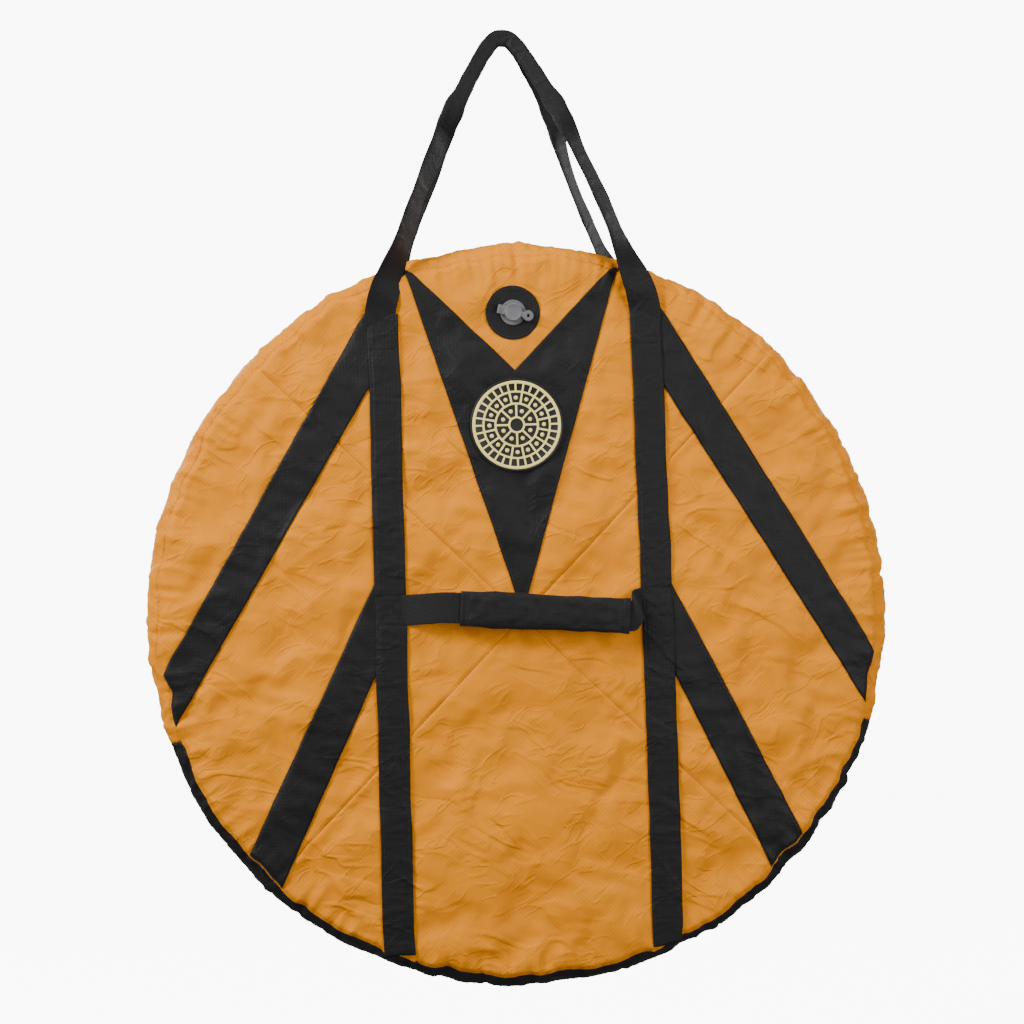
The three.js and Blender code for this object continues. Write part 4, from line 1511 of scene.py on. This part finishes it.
class GONGBAG_OT_valve(bpy.types.Operator):
    """Mould the inflation valve: patch, body, membrane and lid"""
    bl_idname = "gongbag.valve"
    bl_label = "Valve"

    def face(self):
        """Turns shapes made with height along +Z to the front, tilted as the valve is."""
        y = -bulge(VALVE[2]) - 2.4 * MM
        lay = Matrix.Rotation(math.pi / 2, 4, "X") @ Matrix.Rotation(VALVE_TILT, 4, "Z")
        return np.array(Matrix.Translation(Vector((0, y, VALVE[2]))) @ lay)

    def put(self, name, parts, key, slot, body, nodes):
        """A piece of the valve from several closed shapes."""
        points, faces = joined(parts)
        matrix = self.face()
        placed = points @ matrix[:3, :3].T + matrix[:3, 3]
        solid_piece(name, placed, faces, points[:, :2], key, body, nodes)

    def turned(self, profile, steps=72, middle=(0, 0)):
        """A turned part from [(radius, height)] in mm, a ring where it misses the axis."""
        profile = np.array(profile) * MM
        points, faces = lathe(np.maximum(profile, (0.005 * MM, -1)), steps)
        if profile[0, 0] > 0.1 * MM:
            faces = grid_faces(len(profile), steps, wrap_rows=True, wrap_columns=True).tolist()
        return points + (middle[0] * MM, middle[1] * MM, 0), faces

    def execute(self, context):
        self.patch()
        body = [(8, 1), (8, 4.6), (8.4, 5), (10.4, 5), (10.9, 4.5), (11, 2.4), (12, 2.0),
                (15.2, 1.9), (15.9, 2.3), (16.6, 2.3), (17, 1.8), (17, 0.3), (16.6, 0), (8, 0)]
        post, post_faces = round_box((6 * MM, 9 * MM, 4.4 * MM), 1 * MM)
        parts = [self.turned(body), (post + (-17 * MM, 0, 2.4 * MM), post_faces)]
        floor = self.turned([(0, 0.1), (8.5, 0.1), (8.5, 0.9), (0, 0.9)])
        self.put("valve_body", parts + [floor], "valve", "grey_tpu", "front_flap", ["valve_base"])
        flap = self.turned([(0, 1.2), (7.4, 1.2), (7.6, 1.6), (7.2, 2.0), (0, 2.0)])
        self.put("valve_membrane_disc", [flap], "rubber", "black_rubber", "front_flap",
                 ["valve_membrane"])
        self.lid()
        seal = self.turned([(6.7, 3.7), (7.1, 3.5), (7.6, 3.9), (7.6, 4.4), (7.1, 4.8), (6.7, 4.6)])
        self.put("valve_seal_ring", [seal], "rubber", "black_rubber", "valve_cap", ["valve_seal"])
        return {"FINISHED"}

    def patch(self):
        """The round cloth patch, stitched round its edge, following the panel."""
        r = np.concatenate([np.linspace(0.2, 35.6, 13), [36.3, 36.5, 36.4]]) * MM
        up = np.concatenate([np.full(13, 1.3), [1.15, 0.8, 0.2]]) * MM
        angle = np.linspace(0, 2 * np.pi, 96, endpoint=False)
        x = r[:, None] * np.cos(angle)[None]
        z = VALVE[2] + r[:, None] * np.sin(angle)[None]
        seat = field(FRONT).at(x, z, 0, soft=True)
        points = seat + np.stack([0 * x, -np.broadcast_to(up[:, None], x.shape), 0 * x], -1)
        flat = np.stack([x, z], -1)
        faces = grid_faces(*x.shape, wrap_columns=True).tolist()
        faces.append(list(range(96)))
        obj = new_object("valve_patch_cloth", place(points), faces, flat)
        finish_piece(obj, "band", "front_flap", ["valve_patch"])
        ring = np.stack([33.2 * MM * np.cos(angle), 33.2 * MM * np.sin(angle) + VALVE[2]], -1)
        ring = np.concatenate([ring, ring[:1]])
        path = field(FRONT).at(ring[:, 0], ring[:, 1], 1.35 * MM, soft=True)
        stitch_piece("valve_patch_stitching", [stitches(path, (0, -1, 0), 2.8 * MM)],
                     "thread", "front_flap")

    def lid(self):
        """The lid: a dished disc, its flat retaining strap, and a pull tab with a hole."""
        cap = self.turned([(0, 5.3), (11.0, 5.3), (11.7, 5.7), (11.8, 6.6), (11.4, 7.4),
                           (10.6, 7.7), (9.8, 7.4), (9.2, 7.1), (4, 6.9), (0, 6.9)])
        plug = self.turned([(4, 3.2), (5.8, 3.0), (6.3, 3.4), (6.4, 5.5), (4, 5.5)])
        strap, strap_faces = round_box((14 * MM, 12 * MM, 1.7 * MM), 0.6 * MM)
        link, link_faces = round_box((9 * MM, 7 * MM, 1.7 * MM), 0.6 * MM)
        tab = self.turned([(2.2, 5.3), (6.6, 5.3), (7.2, 5.7), (7.2, 6.7), (6.6, 7.2),
                           (5.6, 6.9), (3.4, 6.9), (2.8, 7.1), (2.2, 6.8)], 48, (20.5, 0))
        rib, rib_faces = round_box((0.9 * MM, 8 * MM, 0.9 * MM), 0.3 * MM)
        parts = [cap, plug, tab, (strap + (-14.5 * MM, 0, 6.2 * MM), strap_faces),
                 (link + (14.5 * MM, 0, 6.2 * MM), link_faces)]
        parts += [(rib + (x * MM, 0, 7.1 * MM), rib_faces) for x in (-19.5, -17.5, -15.5)]
        self.put("valve_lid", parts, "valve", "grey_tpu", "valve_cap", ["valve_cap"])


# -------------------- zip
COIL_PITCH = 2.9 * MM


class GONGBAG_OT_zip(bpy.types.Operator):
    """Fit the coil zip round the upper rim, with its two sliders and pulls"""
    bl_idname = "gongbag.zip"
    bl_label = "Zip"

    def execute(self, context):
        self.tapes()
        self.coils()
        for word, sign in HANDS:
            self.slider(word, sign)
        return {"FINISHED"}

    def tapes(self):
        """Flat knitted tape each side of the coil, a shallow arch across its width."""
        angle = rim_angles(FOLD_Z, True)
        across = np.linspace(0, 1, 9)
        for side, word in ((-1, "front"), (1, "back")):
            y = ZIP_Y + side * (1.3 * MM + across * (ZIP_TAPE_EDGE + 1 * MM))
            lift = -0.4 * MM * across ** 2 - 0.7 * MM
            points = round_rim(angle, RIM_RADIUS + lift, y)
            flat = np.stack(np.broadcast_arrays(y[None], angle[:, None] * RIM_RADIUS), -1)
            obj = grid_piece(f"zip_tape_{word}_knit", points, flat, "tape",
                             "back_shell", [f"zip_tape_{word}"], fold=side < 0, thick=0.6 * MM)
            outward(obj)

    def coils(self):
        """Rows of moulded teeth: each a rounded block, alternate rows shifted half a pitch."""
        limit = math.acos(FOLD_Z / RIM_RADIUS) - 0.004
        count = int(2 * limit * RIM_RADIUS / COIL_PITCH)
        block, block_faces = round_box((1.5 * MM, 2.9 * MM, 1.7 * MM), 0.45 * MM, 2)
        for side, word in ((-1, "front"), (1, "back")):
            shift = 0.5 if side > 0 else 0
            angle = -limit + (np.arange(count) + 0.25 + shift) * COIL_PITCH / RIM_RADIUS
            sin, cos = np.sin(angle)[:, None], np.cos(angle)[:, None]
            radial = RIM_RADIUS + 0.5 * MM + block[None, :, 2]
            x = radial * sin + block[None, :, 0] * cos
            z = radial * cos - block[None, :, 0] * sin
            y = ZIP_Y + side * 1.25 * MM + block[None, :, 1] + 0 * x
            points = np.stack([x, y, z], -1).reshape(-1, 3)
            faces = []
            for i in range(count):
                faces += [[k + i * len(block) for k in face] for face in block_faces]
            obj = new_object(f"zip_coil_{word}", place(points), faces, points[:, ::2])
            finish_piece(obj, "coil", "back_shell",
                         [f"zip_teeth_{word}"], fold=side < 0)

    def slider(self, word, sign):
        """Die-cast slider body with a bail, and a stamped pull with an oval eye."""
        box = node_box(f"{word}_slider")
        x = (box[0][0] + box[1][0]) / 2
        low = box[0][2] - CENTRE_Z
        plate_z = low + 2.9 * MM
        plate = self.tapered_plate(14 * MM, 12 * MM, 9 * MM, 1.7 * MM, sign)
        parts = [(plate[0] + (x, ZIP_Y, plate_z), plate[1])]
        lip, lip_faces = round_box((13 * MM, 1.4 * MM, 2.4 * MM), 0.4 * MM)
        parts.append((lip + (x, ZIP_Y + 5.2 * MM, plate_z - 1.2 * MM), lip_faces))
        arch = np.array([(-4.2, 0, 0), (-4, 0, 2.2), (-2.8, 0, 3.7), (0, 0, 4.1), (2.8, 0, 3.7),
                         (4, 0, 2.2), (4.2, 0, 0)])
        path = rounded_path(arch * MM, 0.7 * MM)
        turn = np.linspace(0, 2 * np.pi, 12, endpoint=False)
        tangent = unit(np.gradient(path, axis=0))
        side = np.broadcast_to(np.array([0, 1.0, 0]), path.shape)
        section = np.stack([1.4 * MM * np.cos(turn), 0.55 * MM * np.sin(turn)], -1)
        points, faces = swept(path, side, unit(np.cross(side, tangent)), section)
        parts.append((points.reshape(-1, 3) + (x, ZIP_Y, plate_z + 0.6 * MM), faces))
        points, faces = joined(parts)
        solid_piece(f"{word}_slider_body", points, faces, points[:, ::2], "metal",
                    f"{word}_slider", [f"{word}_slider"])
        self.pull(word, sign)

    def tapered_plate(self, length, wide, narrow, thick, sign):
        """A rounded plate that narrows towards the side where the zip is open."""
        points, faces = round_box((length, wide, thick), 0.7 * MM)
        share = 0.5 - sign * points[:, 0] / length
        scale = (narrow + (wide - narrow) * share) / wide
        return points * np.stack([np.ones(len(points)), scale, np.ones(len(points))], -1), faces

    def pull(self, word, sign):
        """An oval frame round the bail, and a flat tab with a hole and a rib on each edge."""
        joint = JOINTS[f"{word}_pull_flip"]["pos_m"]
        origin = np.array(joint) - (0, 0, CENTRE_Z)
        turn = np.linspace(0, 2 * np.pi, 10, endpoint=False)
        loop = np.array([(0, -4.1), (0, 4.1), (5, 4.3), (9, 4.6), (26, 4.4), (27.6, 3.2), (28, 0),
                         (27.6, -3.2), (26, -4.4), (9, -4.6), (5, -4.3)])
        path = [(sign * a * MM, b * MM, 0) for a, b in loop] + [(0, -4.1 * MM, 0)]
        path = resampled(path, 1.2 * MM)
        tangent = unit(np.gradient(path, axis=0))
        up = np.broadcast_to(np.array([0, 0, 1.0]), path.shape)
        section = np.stack([0.75 * MM * np.cos(turn), 0.65 * MM * np.sin(turn)], -1)
        points, faces = swept(path, unit(np.cross(up, tangent)), up, section)
        tab, tab_faces = round_box((19 * MM, 8.6 * MM, 0.9 * MM), 0.4 * MM)
        parts = [(points.reshape(-1, 3) + origin, faces),
                 (tab + origin + (sign * 17.5 * MM, 0, 0), tab_faces)]
        points, faces = joined(parts)
        solid_piece(f"{word}_pull_tab", points, faces, points[:, ::2], "metal",
                    f"{word}_pull", [f"{word}_pull"])


# -------------------- inside
LINING_HEM = 15 * MM  # the lining runs this far up past the cavity's edge
CELL_COVER = 12.5 * MM  # from the panel's surface down to the air cell
CELL_LIFT = 9 * MM  # from the lining's plane to the air cell


class GONGBAG_OT_inside(bpy.types.Operator):
    """Fill the bag: linings, air cells and rim foam"""
    bl_idname = "gongbag.inside"
    bl_label = "Inside"

    def execute(self, context):
        self.linings()
        self.cells()
        self.foam()
        return {"FINISHED"}

    def linings(self):
        """Lining discs with shallow quilting, drawn towards their edge."""
        flat, faces = triangulated(lattice(CAVITY_RADIUS + LINING_HEM, 8 * MM))
        x, z = flat.T
        r = np.hypot(x, z)
        dent = 1.3 * MM * bump_line(quilt_distance(x, z), 6 * MM)
        ripple = 0.5 * MM * waves(flat, 60 * MM, seed=171)
        ripple = ripple * (1 - smooth_step(r, 0.4, CAVITY_RADIUS))
        ripple = ripple + 5.5 * MM * smooth_step(r, CAVITY_RADIUS - 4 * MM, CAVITY_RADIUS + 12 * MM)
        for side, name, nodes in (
                (FRONT, "front_lining_cloth", ("upper_front_lining", "lower_front_lining")),
                (BACK, "back_lining_cloth", ("back_lining",))):
            points = np.stack([x, side * (LINING_Y + 0.8 * MM + dent + ripple), z], -1)
            turned = faces[:, ::-1] if side == FRONT else faces
            obj = new_object(name, place(points), turned, flat)
            finish_piece(obj, "lining", "back_shell", nodes,
                         fold=side == FRONT)

    def cells(self):
        """An inflated lens each side: flat inside, crowned outside, with a welded edge."""
        r = np.concatenate([np.linspace(0.001, 0.44, 14), [0.46, 0.472, 0.478, 0.48]])
        outer = bulge(r) - CELL_COVER - 4 * MM * smooth_step(r, 0.40, 0.48)
        outer[-1] -= 8 * MM
        inner_y = LINING_Y + CELL_LIFT
        profile = np.concatenate([np.stack([r, outer], -1),
                                  np.stack([r[::-1], np.full(len(r), inner_y)], -1)])
        points, faces = lathe(profile, 120)
        for side, name, nodes in (
                (FRONT, "front_air_cell_pad", ("upper_front_air_cell", "lower_front_air_cell")),
                (BACK, "back_air_cell_pad", ("back_air_cell",))):
            placed = np.stack([points[:, 0], side * points[:, 2], points[:, 1]], -1)
            obj = solid_piece(name, placed, faces, points[:, :2], "film",
                              "back_shell", nodes, fold=side == FRONT)

    def foam(self):
        """Foam strips in the rim, a rounded section carried round the rim."""
        section = np.array([(-13, -1), (-13, 1), (-11, 1.4), (11, 1.4), (12, 1), (12, -1),
                            (11, -1.4), (-11, -1.4)])
        for name, node, above, fold in (("rim_foam_strip", "rim_foam", True, True),
                                        ("base_foam_pad", "base_foam", False, False)):
            box = node_box(node)
            middle = (box[0][1] + box[1][1]) / 2
            half = (box[1][1] - box[0][1]) / 2 - 1 * MM
            angle = rim_angles(FOLD_Z, above, 8 * MM)
            radius = RIM_RADIUS - 17 * MM + section[:, 0] * MM * 0.8
            y = middle + half * section[:, 1] / 1.4
            points = round_rim(angle, radius, y)
            obj = solid_piece(name, points, tube_faces(*points.shape[:2]), points[..., ::2],
                              "foam", "back_shell", [node], fold)


# -------------------- stage
VIEW_AZIMUTH = math.radians(-4)
VIEW_DISTANCE = 3.24
VIEW_TARGET = (-9 * MM, -60 * MM, 140 * MM)
VIEW_ROLL = math.radians(1.7)


class GONGBAG_OT_stage(bpy.types.Operator):
    """Set up the pale floor and backdrop, the soft lights and the camera"""
    bl_idname = "gongbag.stage"
    bl_label = "Stage"

    def execute(self, context):
        self.backdrop()
        self.lights(context)
        self.camera(context)
        return {"FINISHED"}

    def backdrop(self):
        """A round pale studio: level floor, quarter-circle cove, upright wall."""
        floor = CENTRE_Z - RIM_RADIUS - 0.35
        wall, bend = 6.5, 1.5
        angle = np.linspace(0, np.pi / 2, 14)
        profile = np.concatenate([
            [(0.5 * MM, floor), (2.5, floor)],
            np.stack([wall - bend + bend * np.sin(angle), floor + bend * (1 - np.cos(angle))], -1),
            [(wall, floor + 9.0)]])
        points, faces = lathe(profile, 64, capped=False)
        obj = new_object("studio_cyclorama", points, faces)
        material, _, shader = new_material("backlit_paper_backdrop", linear("F4F4F4"),
                                           Roughness=0.9)
        shader.inputs["Emission Color"].default_value = (1, 1, 1, 1)
        shader.inputs["Emission Strength"].default_value = 9.0
        obj.data.materials.append(material)
        obj.visible_diffuse = obj.visible_glossy = obj.visible_shadow = False

    def lights(self, context):
        """Large soft lamps, all aimed at the middle of the bag, in even pale air."""
        world = bpy.data.worlds.new("studio_air")
        world.use_nodes = True
        world.node_tree.nodes["Background"].inputs["Color"].default_value = (1, 1, 1, 1)
        world.node_tree.nodes["Background"].inputs["Strength"].default_value = 0.25
        context.scene.world = world
        for name, place_at, power, size in (
                ("key_softbox", (-3.1, -2.0, 1.3), 195, 1.2),
                ("fill_softbox", (2.2, -2.6, -0.4), 64, 1.6),
                ("top_softbox", (0.3, -0.8, 1.7), 24, 1.2),
                ("back_softbox_left", (-2.4, 2.2, 0.6), 48, 1.4),
                ("back_softbox_right", (2.4, 2.2, 0.2), 30, 1.4)):
            data = bpy.data.lights.new(name, "AREA")
            data.energy, data.size = power, size
            lamp = bpy.data.objects.new(name, data)
            context.scene.collection.objects.link(lamp)
            lamp.location = place_at
            target = Vector((0, 0, CENTRE_Z))
            lamp.rotation_euler = (target - lamp.location).to_track_quat("-Z", "Y").to_euler()

    def camera(self, context):
        """A long lens, level with the bag's middle, a little to the left and rolled."""
        data = bpy.data.cameras.new("studio_camera")
        data.lens, data.sensor_width = 85, 36
        camera = bpy.data.objects.new("studio_camera", data)
        context.scene.collection.objects.link(camera)
        target = Vector(place(VIEW_TARGET))
        back = Vector((math.sin(VIEW_AZIMUTH), -math.cos(VIEW_AZIMUTH), 0))
        camera.location = target + VIEW_DISTANCE * back
        look = (-back).to_track_quat("-Z", "Y")
        roll = Matrix.Rotation(-VIEW_ROLL, 4, "Z")
        camera.matrix_world = Matrix.Translation(camera.location) @ look.to_matrix().to_4x4() @ roll
        context.scene.camera = camera


# -------------------- panel and registration
class GONGBAG_PT_sidebar(bpy.types.Panel):
    """Builds the gong bag piece by piece"""
    bl_label = "Gong Bag"
    bl_idname = "GONGBAG_PT_sidebar"
    bl_space_type = "VIEW_3D"
    bl_region_type = "UI"
    bl_category = "Gong Bag"

    def draw(self, context):
        for group in (context.scene.gong_bag_sizes, context.scene.gong_bag_colours):
            for key in group.__annotations__:
                self.layout.prop(group, key)
        for operator in OPERATORS:
            self.layout.operator(operator.bl_idname)


OPERATORS = (
    GONGBAG_OT_stage, GONGBAG_OT_panels, GONGBAG_OT_inside, GONGBAG_OT_gusset, GONGBAG_OT_trim,
    GONGBAG_OT_straps, GONGBAG_OT_handles, GONGBAG_OT_grip, GONGBAG_OT_emblem, GONGBAG_OT_valve,
    GONGBAG_OT_zip)
CLASSES = (GongBagSizes, GongBagColours, *OPERATORS, GONGBAG_PT_sidebar)


def register():
    for cls in CLASSES:
        bpy.utils.register_class(cls)
    bpy.types.Scene.gong_bag_sizes = PointerProperty(type=GongBagSizes)
    bpy.types.Scene.gong_bag_colours = PointerProperty(type=GongBagColours)


def unregister():
    del bpy.types.Scene.gong_bag_sizes
    del bpy.types.Scene.gong_bag_colours
    for cls in reversed(CLASSES):
        bpy.utils.unregister_class(cls)


def main():
    """Registers the add-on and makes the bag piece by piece."""
    register()
    bpy.ops.gongbag.stage()
    bpy.ops.gongbag.panels()
    bpy.ops.gongbag.inside()
    bpy.ops.gongbag.gusset()
    bpy.ops.gongbag.trim()
    bpy.ops.gongbag.straps()
    bpy.ops.gongbag.handles()
    bpy.ops.gongbag.grip()
    bpy.ops.gongbag.emblem()
    bpy.ops.gongbag.valve()
    bpy.ops.gongbag.zip()


if __name__ == "__main__":
    main()
